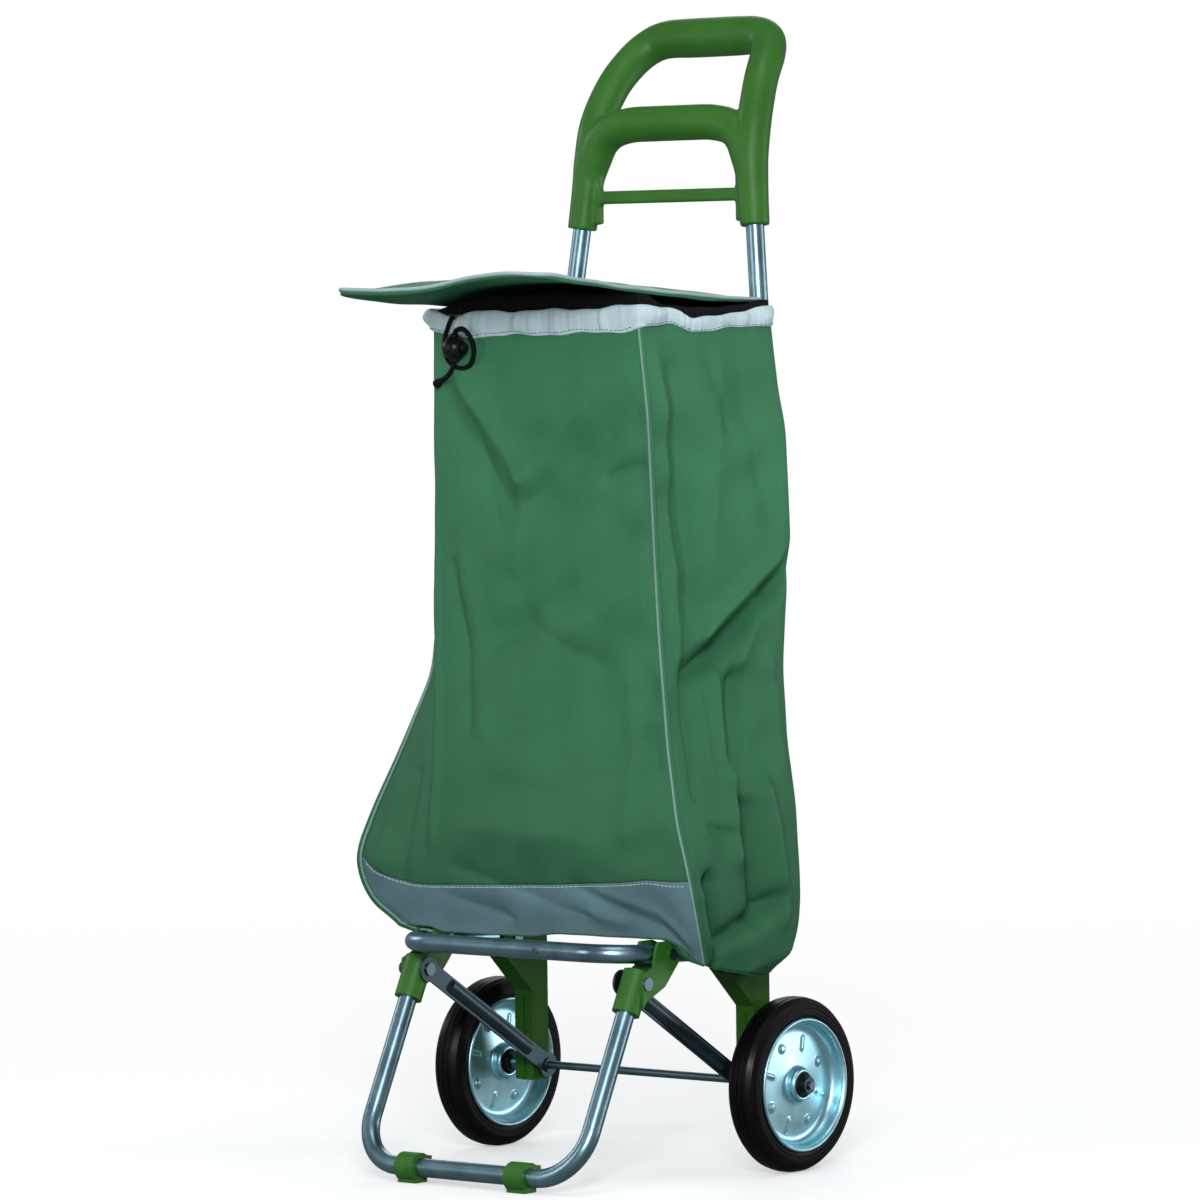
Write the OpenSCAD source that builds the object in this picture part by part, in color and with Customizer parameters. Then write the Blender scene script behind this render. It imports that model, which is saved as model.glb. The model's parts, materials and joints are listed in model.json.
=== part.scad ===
// Folding two-wheeled shopping trolley with a fabric bag.
// +Z is up, the front faces -Y, and the wheels' axle runs along X.
// Every Y below is measured from the axle. in_place() moves the whole trolley so that
// the origin lies on the floor, under the middle of its outline.

/* [Frame] */
// Outside diameter of the steel tubes
tube_d = 16; // [15:0.5:16]
// Wall of the steel tubes
tube_wall = 1.2; // [0.8:0.1:2]
// Distance from the middle to the centre of each upright
upright_half = 125; // [124:0.5:126]
// Backward lean of the uprights, as run over rise
upright_lean = 0.08; // [0.07:0.005:0.08]
// Height at which the uprights bend inwards
bend_z = 570; // [540:5:600]
// Inward slope of the uprights above the bend
inward_slope = 0.1164; // [0.11:0.002:0.12]

/* [Wheels] */
// Radius of the tyres
tyre_r = 75; // [73:0.5:75]
// Distance from the middle to the middle plane of each wheel
wheel_half = 165.5; // [165:0.5:168]
// Diameter of the axle rod
axle_d = 7; // [6:0.5:7]

/* [Folding base] */
// Height of the platform's front bar
platform_z = 198; // [197:0.5:199]
// Distance of the platform's front bar in front of the axle
platform_reach = 180; // [176:1:182]
// Distance from the middle to the centre of each foot leg
foot_half = 122; // [121.5:0.5:122.5]
// Height of the centre of the foot's floor bar
foot_bar_z = 13; // [13:0.5:14]

/* [Bag] */
// Thickness of the fabric panels
fabric = 2; // [1.6:0.1:2]
// Radius of the bag's upright corners
bag_corner = 18; // [12:1:22]
// How far the unsupported right corner of the bag hangs down
bag_hang = 38; // [20:1:40]

/* [Handle] */
// Outside diameter of the handle's sleeves
sleeve_d = 26; // [25:0.5:27]
// Diameter of the upper grip
grip_d = 30; // [28:0.5:30]

/* [Hidden] */
$fn = 48;

// Colours
plastic_green = "#3a6e2a";
fabric_green = "#417f56";
fabric_grey = "#5a7880";
hem_grey = "#a8bec8";
steel_grey = "#8c9aa4";
zinc = "#86a4b0";
black = "#16181a";

// Small clearances
run_gap = 0.06;      // radial, shaft in a turning hole
fit_gap = 0.15;      // radial, between fixed pieces
side_gap = 0.4;      // between pieces that slide past each other

// Whole outline, used to centre the origin
lid_front = -248.8;
binding_d = 4;
binding_gap = 0.2;
grip_back = 104;
front_most = lid_front - binding_gap - binding_d;
rear_most = grip_back + grip_d / 2;
axle_y = -(front_most + rear_most) / 2;
axle_z = tyre_r;

// Uprights
upright_zero_z = 175;
upright_end_z = 150;
upright_top_z = 862;
function lean_y(z) = (z - upright_zero_z) * upright_lean;
function upright_x(z) = upright_half - max(0, z - bend_z) * inward_slope;
function upright_at(side, z) = [side * upright_x(z), lean_y(z), z];

// Axle brackets
bracket_w = 20;
bracket_front = -12;
bracket_back = 9.5;
bracket_bottom = 62;
bracket_top = 200;
gusset_reach = -48;
bracket_in = upright_half - bracket_w / 2;

// Linkage pivots, each as [y, z]. The strut turns on the axle.
pivot_a = [-30, 190];
pin_d = 6;
arm_slope = (platform_z - pivot_a.y) / (platform_reach + pivot_a.x);
arm_pitch = atan(arm_slope);
pivot_b_y = -121.6;
pivot_b = [pivot_b_y, pivot_a.y + (pivot_a.x - pivot_b_y) * arm_slope];
leg_run = 0.492;     // forward run of the legs for each mm down
leg_lean = atan(leg_run);
foot_bar_y = -234;
leg_length = 184;
function leg_point(s) = [foot_bar_y + s * sin(leg_lean), foot_bar_z + s * cos(leg_lean)];
pivot_c = leg_point(177.3);
platform_bend = 40;
foot_bend = 44;
tongue = 6;
tongue_h = 14.5;
tongue_start = -52;
joint_half_w = 12;

// Struts
strut_d = 12;
strut_plate = 2.4;
strut_x = foot_half - joint_half_w - side_gap - strut_plate / 2;
strut_run = norm([pivot_c.x, pivot_c.y - axle_z]);
strut_pitch = atan2(pivot_c.y - axle_z, pivot_c.x);

// Wheels
tyre_half_w = 14;
rim_r = 54;
rim_sheet = 1.2;
rim_lip_w = 15;
hub_d = 27;
hub_bore = 21;
bush_half = 18;
rivet_circle = 34;
rivet_count = 4;

// Bag cross-sections: height, half width in front, half width behind, front face
bag_rows = [
    [208, 150, 150, -136],
    [226, 176, 172, -150],
    [262, 186, 182, -160],
    [308, 174, 176, -157],
    [383, 147, 162, -136],
    [450, 128, 157, -121],
    [540, 125, 160, -121],
    [630, 121, 150, -126],
    [735, 117, 130, -131]
];
bag_bottom = bag_rows[0][0];
grey_top = 250;
hang_top = 300;
hang_from = 138;
hang_over = 14;
back_gap = 3.4;
hem_bottom = 716;
hem_top = 738;
hem_sheet = 2.5;
collar_bottom = 722;
collar_top = 746;
collar_sheet = 1.6;
piping_d = 4;
piping_out = 2.4;
side_steps = 8;
corner_steps = 4;
corner_span = side_steps + corner_steps;
ring_size = 4 * corner_span;
corner_mid = corner_steps / 2;

// Lid
lid_half = 116;
lid_rear = 33;
lid_sheet = 3;
lid_corner = 28;
lid_line = [[33, 749], [-40, 750], [-110, 752.5], [-174, 757], [-220, 762], [-250, 765]];

// Cord lock and the drawstring's free end, in the trolley's final frame
cord_d = 3.6;
lock_at = [-81.5, -140.5 + axle_y, 706.5];
lock_r = 9.5;
plunger_d = 9;
plunger_in = -4;
plunger_out = 13;
lock_bore_end = -6.5;
lock_slot_w = 5;
cord_route = [
    [-87, -67.1, 733], [-88, -69.7, 731], [-91, -70.6, 724], [-95, -70, 715], [-96.5, -68.5, 705],
    [-94, -67, 696], [-87, -66.2, 690.5], [-78, -66.5, 689], [-69, -68, 692], [-63, -70, 699],
    [-61, -72, 708], [-64, -73.5, 717], [-71, -73.5, 722.5], [-78, -73.5, 722], [-81.5, -73.5, 716.5],
    [-81.5, -73.5, 706.5], [-81.5, -73.5, 696], [-84, -73.5, 689], [-90, -72.5, 683],
    [-98, -71, 679], [-106, -69.5, 675.5]
];

// ---- helpers ----

module in_place() {
    translate([0, axle_y, 0]) children();
}

module pipe(a, b, d) {
    v = b - a;
    translate(a) rotate([0, acos(v.z / norm(v)), atan2(v.y, v.x)]) cylinder(h = norm(v), d = d);
}

// Cylinder along X, centred on one side's x and reaching out from it both ways
module cross_hole(x, at, out, d) {
    along_x(x - out, x + out, at.x, at.y, d);
}

module along_x(x0, x1, y, z, d) {
    translate([x0, y, z]) rotate([0, 90, 0]) cylinder(h = x1 - x0, d = d);
}

// U-shaped bar in the XY plane: its bar lies on Y = 0 and its legs run towards +Y
module u_bar(half, leg, bend, d) {
    translate([bend - half, 0, 0]) rotate([0, 90, 0]) cylinder(h = 2 * (half - bend), d = d);
    for (side = [0, 1]) mirror([side, 0, 0]) {
        translate([half - bend, bend, 0]) rotate([0, 0, -90])
            rotate_extrude(angle = 90) translate([bend, 0]) circle(d = d);
        translate([half, bend, 0]) rotate([-90, 0, 0]) cylinder(h = leg - bend, d = d);
    }
}

module u_tube(half, leg, bend) {
    difference() {
        u_bar(half, leg, bend, tube_d);
        u_bar(half, leg + 1, bend, tube_d - 2 * tube_wall);
    }
}

function unit(v) = v / norm(v);
function mix(a, b, t) = a + (b - a) * t;
function smooth(t) = let (u = min(1, max(0, t))) u * u * (3 - 2 * u);

// Smooth curve through a list of points, with steps points for each span
function curve(p, steps) = concat(
    [for (i = [0 : len(p) - 2]) for (k = [0 : steps - 1])
        let (a = p[max(i - 1, 0)], b = p[i], c = p[i + 1], d = p[min(i + 2, len(p) - 1)], t = k / steps)
        0.5 * (2 * b + (c - a) * t + (2 * a - 5 * b + 4 * c - d) * t * t
            + (3 * b - a - 3 * c + d) * t * t * t)],
    [p[len(p) - 1]]);

// Round tube along a route; up stays roughly across the route
module sweep(route, d, sides, up) {
    last = len(route) - 1;
    pts = [for (i = [0 : last])
        let (dir = unit(route[min(i + 1, last)] - route[max(i - 1, 0)]),
            u = unit(cross(up, dir)), v = cross(dir, u))
        for (k = [0 : sides - 1])
            route[i] + d / 2 * (cos(360 * k / sides) * u + sin(360 * k / sides) * v)];
    walls = [for (i = [0 : last - 1]) for (k = [0 : sides - 1])
        let (a = i * sides + k, b = i * sides + (k + 1) % sides)
        each [[a, b + sides, b], [a, a + sides, b + sides]]];
    ends = [[for (k = [0 : sides - 1]) k], [for (k = [sides - 1 : -1 : 0]) last * sides + k]];
    polyhedron(pts, concat(walls, ends));
}

// ---- handle ----

arch_half = [
    [90.8, 55.8, 869], [87.5, 65, 900], [81, 81, 936], [68, 97, 960], [48, 103.4, 969.6], [24, 104, 971]
];
lower_half = [[91, 55.4, 866], [84.5, 57, 884], [70, 58, 896], [45, 58, 900], [20, 58, 901]];

function mirrored(p) = [for (i = [len(p) - 1 : -1 : 0]) [-p[i].x, p[i].y, p[i].z]];
function both_halves(p, middle) = concat(p, [middle], mirrored(p));

sleeve_bottom_z = 808;
sleeve_top_z = 874;
lower_grip_d = 29;
crossbar_z = 835.6;
crossbar_h = 12;
crossbar_t = 6;

module handle_grip() {
    color(plastic_green) in_place() difference() {
        union() {
            for (side = [-1, 1]) {
                pipe(upright_at(side, sleeve_bottom_z), upright_at(side, sleeve_top_z), sleeve_d);
                translate(upright_at(side, sleeve_top_z)) sphere(d = sleeve_d);
            }
            sweep(curve(both_halves(arch_half, [0, 104, 971]), 4), grip_d, 20, [0, -1, 0.5]);
            sweep(curve(both_halves(lower_half, [0, 58, 901]), 3), lower_grip_d, 20, [0, -1, 0.1]);
            translate([0, lean_y(crossbar_z), crossbar_z])
                cube([2 * upright_x(crossbar_z), crossbar_t, crossbar_h], center = true);
        }
        for (side = [-1, 1])
            pipe(upright_at(side, sleeve_bottom_z - 2), upright_at(side, upright_top_z + 1),
                tube_d + 2 * fit_gap);
    }
}

screw_z = 822;
module handle_screws() {
    color(steel_grey) in_place() for (side = [-1, 1])
        translate(upright_at(side, screw_z)) rotate([90, 0, 0]) translate([0, 0, -sleeve_d / 2 - 2.4])
            cylinder(h = 2, d = 7);
}

// ---- uprights and axle ----

// Bent bar along an upright's centre line; the ball fills the outside of the bend
module upright_bar(side, d, extra) {
    ball = 0.6;
    pipe(upright_at(side, upright_end_z - extra), upright_at(side, bend_z), d);
    pipe(upright_at(side, bend_z), upright_at(side, upright_top_z + extra), d);
    translate(upright_at(side, bend_z)) sphere(d = d + ball);
}

module upright(side) {
    color(steel_grey) in_place() difference() {
        upright_bar(side, tube_d, 0);
        upright_bar(side, tube_d - 2 * tube_wall, 1);
    }
}

module upright_left() { upright(-1); }
module upright_right() { upright(1); }

module axle_bracket(side) {
    slot_w = tongue + 2 * side_gap;
    rib = 1.6;
    color(plastic_green) in_place() difference() {
        union() {
            translate([side * upright_half - bracket_w / 2, bracket_front, bracket_bottom])
                cube([bracket_w, bracket_back - bracket_front, bracket_top - bracket_bottom]);
            translate([side * upright_half - bracket_w / 2, 0, 0]) rotate([90, 0, 90])
                linear_extrude(bracket_w) polygon([
                    [bracket_front + 1, 140], [gusset_reach, 176],
                    [gusset_reach, bracket_top], [bracket_front + 1, bracket_top]]);
            translate([side * upright_half - 1, bracket_front - rib, bracket_bottom])
                cube([2, rib + 1, 74]);
        }
        translate([side * upright_half - slot_w / 2, gusset_reach - 1, 172])
            cube([slot_w, bracket_front - gusset_reach - 4, 40]);
        cross_hole(side * upright_half, [0, axle_z], bracket_w, axle_d + 2 * fit_gap);
        cross_hole(side * upright_half, pivot_a, bracket_w, pin_d + 2 * fit_gap);
        pipe(upright_at(side, upright_end_z - 1), upright_at(side, bracket_top + 10), tube_d + 2 * fit_gap);
    }
}

module axle_bracket_left() { axle_bracket(-1); }
module axle_bracket_right() { axle_bracket(1); }

module bracket_rivets() {
    head = 1.6;
    color(steel_grey) in_place() for (side = [-1, 1]) for (z = [162, 190])
        translate([side * upright_half, bracket_back, z]) rotate([-90, 0, 0]) cylinder(h = head, d = 8);
}

module platform_pivot_pins() {
    head = 2;
    color(steel_grey) in_place() for (side = [-1, 1]) {
        along_x(side * upright_half - bracket_w / 2 - head, side * upright_half + bracket_w / 2 + head,
            pivot_a.x, pivot_a.y, pin_d);
        for (end = [-1, 1])
            translate([side * upright_half + end * (bracket_w / 2 + head / 2), pivot_a.x, pivot_a.y])
                rotate([0, 90, 0]) cylinder(h = head, d = 10, center = true);
    }
}

axle_end = 188;
clip_t = 1.4;
module axle_rod() {
    color(steel_grey) in_place() along_x(-axle_end, axle_end, 0, axle_z, axle_d);
}

module collar_ring(x0, x1, d) {
    difference() {
        along_x(x0, x1, 0, axle_z, d);
        along_x(x0 - 1, x1 + 1, 0, axle_z, axle_d + 2 * fit_gap);
    }
}

strut_out = strut_x + strut_plate / 2;
strut_in = strut_x - strut_plate / 2;
module axle_spacers() {
    color(steel_grey) in_place() for (side = [0, 1]) mirror([side, 0, 0]) {
        collar_ring(strut_out + side_gap, bracket_in - 0.1, 12);
        collar_ring(bracket_in + bracket_w + 0.1, wheel_half - bush_half - side_gap, 12);
    }
}

module axle_clips() {
    color(steel_grey) in_place() for (side = [0, 1]) mirror([side, 0, 0]) {
        collar_ring(strut_in - side_gap - clip_t, strut_in - side_gap, 13);
        collar_ring(wheel_half + bush_half + side_gap, wheel_half + bush_half + side_gap + clip_t, 14);
    }
}

// ---- folding base ----

module arm_tongue(side) {
    slope_back = 26;
    translate([side * upright_half - tongue / 2, pivot_a.x, pivot_a.y]) rotate([90, 0, 90])
        linear_extrude(tongue) rotate(-arm_pitch) {
            circle(d = tongue_h);
            translate([-slope_back, -tongue_h / 2]) square([slope_back, tongue_h]);
        }
}

module platform_tube() {
    color(steel_grey) in_place() difference() {
        union() {
            translate([0, pivot_a.x, pivot_a.y]) rotate([-arm_pitch, 0, 0])
                translate([0, -(platform_reach + pivot_a.x) / cos(arm_pitch), 0])
                u_tube(upright_half, (platform_reach + tongue_start) / cos(arm_pitch), platform_bend);
            for (side = [-1, 1]) arm_tongue(side);
        }
        for (side = [-1, 1]) {
            cross_hole(side * upright_half, pivot_a, bracket_w, pin_d + 2 * run_gap);
            cross_hole(side * upright_half, pivot_b, bracket_w, pin_d + 2 * fit_gap);
        }
    }
}

module platform_bar_rivet() {
    color(steel_grey) in_place() translate([40, -platform_reach - tube_d / 2 - 1.2, platform_z])
        rotate([-90, 0, 0]) cylinder(h = 1, d = 5);
}

module joint_pin(x, at, out, d, head_d) {
    head = 1.8;
    along_x(x - out, x + out, at.x, at.y, d);
    for (end = [-1, 1]) translate([x + end * (out + head / 2), at.x, at.y])
        rotate([0, 90, 0]) cylinder(h = head, d = head_d, center = true);
}

cheek_out = tube_d / 2 + side_gap + 2.8;
module foot_pivot_pins() {
    color(steel_grey) in_place() for (side = [-1, 1])
        joint_pin(side * upright_half, pivot_b, cheek_out + 0.1, pin_d, 10);
}

module foot_tube() {
    color(steel_grey) in_place() difference() {
        translate([0, foot_bar_y, foot_bar_z]) rotate([90 - leg_lean, 0, 0])
            u_tube(foot_half, leg_length, foot_bend);
        for (side = [-1, 1])
            cross_hole(side * foot_half, pivot_c, bracket_w, pin_d + 2 * fit_gap);
    }
}

// Green moulding: a socket on the leg, and two cheeks that hold the platform's arm
module foot_joint(side) {
    socket_low = 150;
    socket_high = leg_length + 3;
    low = leg_point(socket_low);
    high = leg_point(socket_high);
    x = side * foot_half;
    color(plastic_green) in_place() difference() {
        union() {
            pipe([x, low.x, low.y], [x, high.x, high.y], 2 * joint_half_w);
            for (end = [-1, 1])
                translate([side * upright_half + end * (tube_d / 2 + side_gap + 1.4) - 1.4, 0, 0])
                rotate([90, 0, 90]) linear_extrude(2.8) polygon([
                    [low.x + 6, low.y + 4], [low.x + 12, low.y + 10], [-132, 168], [-114, 187], [-112, 196],
                    [-116, 203], [-124, 206], [-140, 206], [-144, 198], [-146, 186], [high.x - 8, high.y]]);
        }
        pipe([x, leg_point(socket_low - 1).x, leg_point(socket_low - 1).y],
            [x, leg_point(leg_length + 0.3).x, leg_point(leg_length + 0.3).y], tube_d + 2 * fit_gap);
        cross_hole(x, pivot_c, bracket_w, pin_d + 2 * fit_gap);
        cross_hole(side * upright_half, pivot_b, bracket_w, pin_d + 2 * run_gap);
        translate([0, pivot_a.x, pivot_a.y]) rotate([-arm_pitch, 0, 0])
            translate([side * upright_half - tube_d / 2 - side_gap, -170, -tube_d / 2 - 1])
            cube([tube_d + 2 * side_gap, 100, 40]);
    }
}

module foot_joint_left() { foot_joint(-1); }
module foot_joint_right() { foot_joint(1); }

module foot_joint_pins() {
    color(steel_grey) in_place() for (side = [0, 1]) mirror([side, 0, 0]) {
        head_x = upright_half + cheek_out + 0.1;
        along_x(foot_half - joint_half_w + 0.5, head_x, pivot_c.x, pivot_c.y, pin_d);
        along_x(head_x, head_x + 1.8, pivot_c.x, pivot_c.y, 11);
    }
}

clip_x = 61;
clip_w = 20;
clip_d = 25;
module foot_clip(side) {
    pad_y = 15;
    color(plastic_green) in_place() difference() {
        union() {
            along_x(side * clip_x - clip_w / 2, side * clip_x + clip_w / 2, foot_bar_y, foot_bar_z, clip_d);
            translate([side * clip_x - clip_w / 2, foot_bar_y - pad_y / 2, 0])
                cube([clip_w, pad_y, foot_bar_z]);
            translate([side * clip_x - clip_w / 2, foot_bar_y + 6, foot_bar_z + 6]) cube([clip_w, 8, 3]);
        }
        along_x(side * clip_x - clip_w, side * clip_x + clip_w, foot_bar_y, foot_bar_z, tube_d + 2 * fit_gap);
    }
}

module foot_clip_left() { foot_clip(-1); }
module foot_clip_right() { foot_clip(1); }

// Flattened-end tube from the axle to the foot joint
module strut(side) {
    flat = 37;
    end_w = 22;
    mid = strut_run - 2 * flat;
    color(steel_grey) in_place() translate([side * strut_x, 0, axle_z])
    rotate([strut_pitch, 0, 0]) difference() {
        union() {
            translate([0, flat - 6, 0]) rotate([-90, 0, 0]) cylinder(h = mid + 12, d = strut_d);
            for (end = [0, strut_run]) translate([-strut_plate / 2, end, 0]) rotate([0, 90, 0])
                cylinder(h = strut_plate, d = end_w);
            translate([-strut_plate / 2, 0, -8]) cube([strut_plate, strut_run, 16]);
        }
        rotate([0, 90, 0]) cylinder(h = 40, d = axle_d + 2 * run_gap, center = true);
        translate([0, strut_run, 0]) rotate([0, 90, 0]) cylinder(h = 40, d = pin_d, center = true);
    }
}

module strut_left() { strut(-1); }
module strut_right() { strut(1); }

module strut_rivet(side) {
    color(steel_grey) in_place() mirror([side < 0 ? 1 : 0, 0, 0]) {
        along_x(strut_in - 1.8, strut_in, pivot_c.x, pivot_c.y, 11);
        along_x(strut_in, strut_out, pivot_c.x, pivot_c.y, pin_d - 0.2);
    }
}

module strut_rivet_left() { strut_rivet(-1); }
module strut_rivet_right() { strut_rivet(1); }

// ---- wheels ----

// Spins an [x, r] outline about the axle, at the wheel on the given side
module wheel_turn(side) {
    in_place() translate([side * wheel_half, 0, axle_z]) mirror([side < 0 ? 1 : 0, 0, 0])
        rotate([0, 90, 0]) rotate_extrude($fn = 96) children();
}

module tyre(side) {
    groove = 0.8;
    color(black) wheel_turn(side) difference() {
        polygon([
            [rim_r, -12], [60, -tyre_half_w], [66, -tyre_half_w], [71, -12], [74, -8], [tyre_r, -3],
            [tyre_r, 3], [74, 8], [71, 12], [66, tyre_half_w], [60, tyre_half_w], [rim_r, 12]]);
        for (r = [62, 65]) for (end = [-1, 1])
            translate([r, end * tyre_half_w]) square([groove, 2 * groove], center = true);
        for (w = [-5, 0, 5]) translate([tyre_r, w]) square([2 * groove, groove], center = true);
    }
}

module tyre_left() { tyre(-1); }
module tyre_right() { tyre(1); }

// Pressed disc, dished down to the wheel's middle plane
module rim_half(side, out) {
    hub_r = hub_d / 2;
    color(zinc) wheel_turn(side) mirror([0, out < 0 ? 1 : 0]) polygon([
        [hub_r, 0], [rim_r, 0], [rim_r, rim_lip_w - 2], [rim_r + 2, rim_lip_w], [rim_r + 1, rim_lip_w + 1],
        [rim_r - rim_sheet, rim_lip_w], [rim_r - rim_sheet, 4], [rim_r - 4, rim_sheet],
        [hub_r + 4, rim_sheet], [hub_r + rim_sheet, 6], [hub_r, 6]]);
}

module rim_outer_left() { rim_half(-1, 1); }
module rim_outer_right() { rim_half(1, 1); }
module rim_inner_left() { rim_half(-1, -1); }
module rim_inner_right() { rim_half(1, -1); }

module hub_tube(side) {
    half = 13;
    color(zinc) wheel_turn(side) translate([hub_bore / 2, -half]) square([(hub_d - hub_bore) / 2, 2 * half]);
}

module hub_tube_left() { hub_tube(-1); }
module hub_tube_right() { hub_tube(1); }

module hub_bush(side) {
    inner = axle_d / 2 + run_gap;
    color(black) wheel_turn(side) polygon([
        [inner, -bush_half], [8, -bush_half], [hub_bore / 2, 14 - bush_half], [hub_bore / 2, bush_half - 6],
        [8, bush_half - 4], [8, bush_half], [inner, bush_half]]);
}

module hub_bush_left() { hub_bush(-1); }
module hub_bush_right() { hub_bush(1); }

module rim_rivets(side) {
    head = 1.4;
    color(zinc) in_place() translate([side * wheel_half, 0, axle_z]) for (k = [0 : rivet_count - 1])
        rotate([360 * (k + 0.5) / rivet_count, 0, 0]) translate([0, 0, rivet_circle]) for (end = [-1, 1])
            translate([end * (rim_sheet + head / 2), 0, 0]) rotate([0, 90, 0])
                cylinder(h = head, d = 6, center = true);
}

module rim_rivets_left() { rim_rivets(-1); }
module rim_rivets_right() { rim_rivets(1); }

// ---- bag ----

// Section of the bag at height z, between the rows of the table
function bag_row(z) = let (
        i = max([for (k = [0 : len(bag_rows) - 2]) if (k == 0 || bag_rows[k][0] <= z) k]),
        a = bag_rows[i], b = bag_rows[i + 1])
    mix(a, b, (z - a[0]) / (b[0] - a[0]));

// How far a point of the bag hangs down, past the platform's right arm
function hang(p) = bag_hang * smooth((p.x - hang_from) / hang_over)
    * smooth((hang_top - p.z) / (hang_top - bag_bottom)) * mix(0.45, 1, smooth((p.y + 130) / 120));

// Closed outline at height z, set in by inset, as ring_size points from the front left corner
function bag_ring(z, inset) = let (
        row = bag_row(z), back = lean_y(z) - tube_d / 2 - back_gap - inset,
        front = row[3] + inset, fh = row[1] - inset, rh = row[2] - inset,
        corners = [[-fh, front], [fh, front], [rh, back], [-rh, back]])
    [for (k = [0 : 3]) let (
            p = corners[k], before = corners[(k + 3) % 4], after = corners[(k + 1) % 4],
            from = p + bag_corner * unit(before - p), to = p + bag_corner * unit(after - p),
            next_from = after + bag_corner * unit(p - after))
        each concat(
            [for (i = [0 : corner_steps]) let (t = i / corner_steps)
                mix(mix(from, p, t), mix(p, to, t), t)],
            [for (i = [1 : side_steps - 1]) mix(to, next_from, i / side_steps)])];

function bag_loop(z, inset) = [for (p = bag_ring(z, inset)) [p.x, p.y, z - hang([p.x, p.y, z])]];

// Sheet between an outer and an inner set of rows; a closed sheet joins its last column to its first
module sheet(outer, inner, closed) {
    rows = len(outer);
    cols = len(outer[0]);
    all = rows * cols;
    spans = closed ? cols : cols - 1;
    pts = concat([for (r = outer) each r], [for (r = inner) each r]);
    faces = concat(
        [for (r = [0 : rows - 2]) for (c = [0 : spans - 1]) let (
                a = r * cols + c, b = r * cols + (c + 1) % cols, d = a + cols, e = b + cols)
            each [[a, d, e], [a, e, b], [all + a, all + e, all + d], [all + a, all + b, all + e]]],
        [for (c = [0 : spans - 1]) let (
                a = c, b = (c + 1) % cols, top = (rows - 1) * cols, d = top + a, e = top + b)
            each [[a, b, all + b], [a, all + b, all + a], [d, all + d, all + e], [d, all + e, e]]],
        closed ? [] : [for (r = [0 : rows - 2]) let (
                a = r * cols, d = a + cols, b = a + cols - 1, e = b + cols)
            each [[all + a, all + d, d], [all + a, d, a], [b, e, all + e], [b, all + e, all + b]]]);
    polyhedron(pts, faces);
}

module bag_panel(heights, first, last) {
    sheet([for (z = heights) let (p = bag_loop(z, 0)) [for (i = [first : last]) p[i % ring_size]]],
        [for (z = heights) let (p = bag_loop(z, fabric)) [for (i = [first : last]) p[i % ring_size]]], false);
}

module bag_band(heights, out, sheet_t) {
    sheet([for (z = heights) bag_loop(z, -out)], [for (z = heights) bag_loop(z, sheet_t - out)], true);
}

row_heights = [for (r = bag_rows) r[0]];
panel_heights = concat(
    [bag_bottom, 217, 226, 238, grey_top, 262, 285], [for (z = row_heights) if (z > 285) z]);
lower_heights = [for (z = panel_heights) if (z <= grey_top) z];
upper_heights = [for (z = panel_heights) if (z >= grey_top) z];
front_left = corner_mid;
front_right = corner_span + corner_mid;
back_right = 2 * corner_span + corner_mid;
back_left = 3 * corner_span + corner_mid;

module bag_front_panel() {
    color(fabric_green) in_place() bag_panel(upper_heights, front_left, front_right);
}

module bag_lower_panel() {
    color(fabric_grey) in_place() bag_panel(lower_heights, front_left, front_right);
}

module bag_side_right() {
    color(fabric_green) in_place() bag_panel(panel_heights, front_right, back_right);
}

module bag_back_panel() {
    color(fabric_green) in_place() bag_panel(panel_heights, back_right, back_left);
}

module bag_side_left() {
    color(fabric_green) in_place() bag_panel(panel_heights, back_left, ring_size + front_left);
}

// Floor of the bag: flat over the platform, hanging down past its right arm
module bag_base_panel() {
    edge = bag_loop(bag_bottom, fabric);
    middle = [0, -72, bag_bottom];
    flat_edge = hang_from - 2;
    flat = [for (p = edge)
        [min(flat_edge, max(-flat_edge, 0.92 * p.x)), mix(p.y, middle.y, 0.12), bag_bottom]];
    up = [0, 0, fabric];
    n = ring_size;
    pts = concat(edge, flat, [middle], [for (p = edge) p + up], [for (p = flat) p + up], [middle + up]);
    top = 2 * n + 1;
    faces = [for (i = [0 : n - 1]) let (j = (i + 1) % n)
        each [[i, j, n + j], [i, n + j, n + i], [n + i, n + j, 2 * n],
            [top + i, top + n + j, top + j], [top + i, top + n + i, top + n + j],
            [top + n + i, top + 2 * n, top + n + j], [i, top + j, j], [i, top + i, top + j]]];
    color(fabric_green) in_place() polyhedron(pts, faces);
}

module bag_piping(index) {
    route = [for (z = concat([212], [for (h = panel_heights) if (h > 212 && h < 700) h], [hem_bottom - 3]))
        bag_loop(z, -piping_out)[index]];
    color(hem_grey) in_place() sweep(route, piping_d, 8, [1, 0, 0]);
}

module bag_piping_left() { bag_piping(front_left); }
module bag_piping_right() { bag_piping(front_right); }

module bag_hem() {
    color(hem_grey) in_place() bag_band([hem_bottom, 727, hem_top], 0.3 + hem_sheet, hem_sheet);
}

module bag_collar() {
    color(black) in_place() bag_band([collar_bottom, collar_top], -fabric - 0.3, collar_sheet);
}

// Fabric loops that hold the bag's back to the uprights
module bag_tube_loops() {
    wall = 2;
    tall = 40;
    color(fabric_green) in_place() for (side = [-1, 1]) for (z = [330, 650]) difference() {
        pipe(upright_at(side, z), upright_at(side, z + tall), tube_d + 2 * wall + 0.6);
        pipe(upright_at(side, z - 1), upright_at(side, z + tall + 1), tube_d + 0.6);
    }
}

// ---- lid ----

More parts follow.
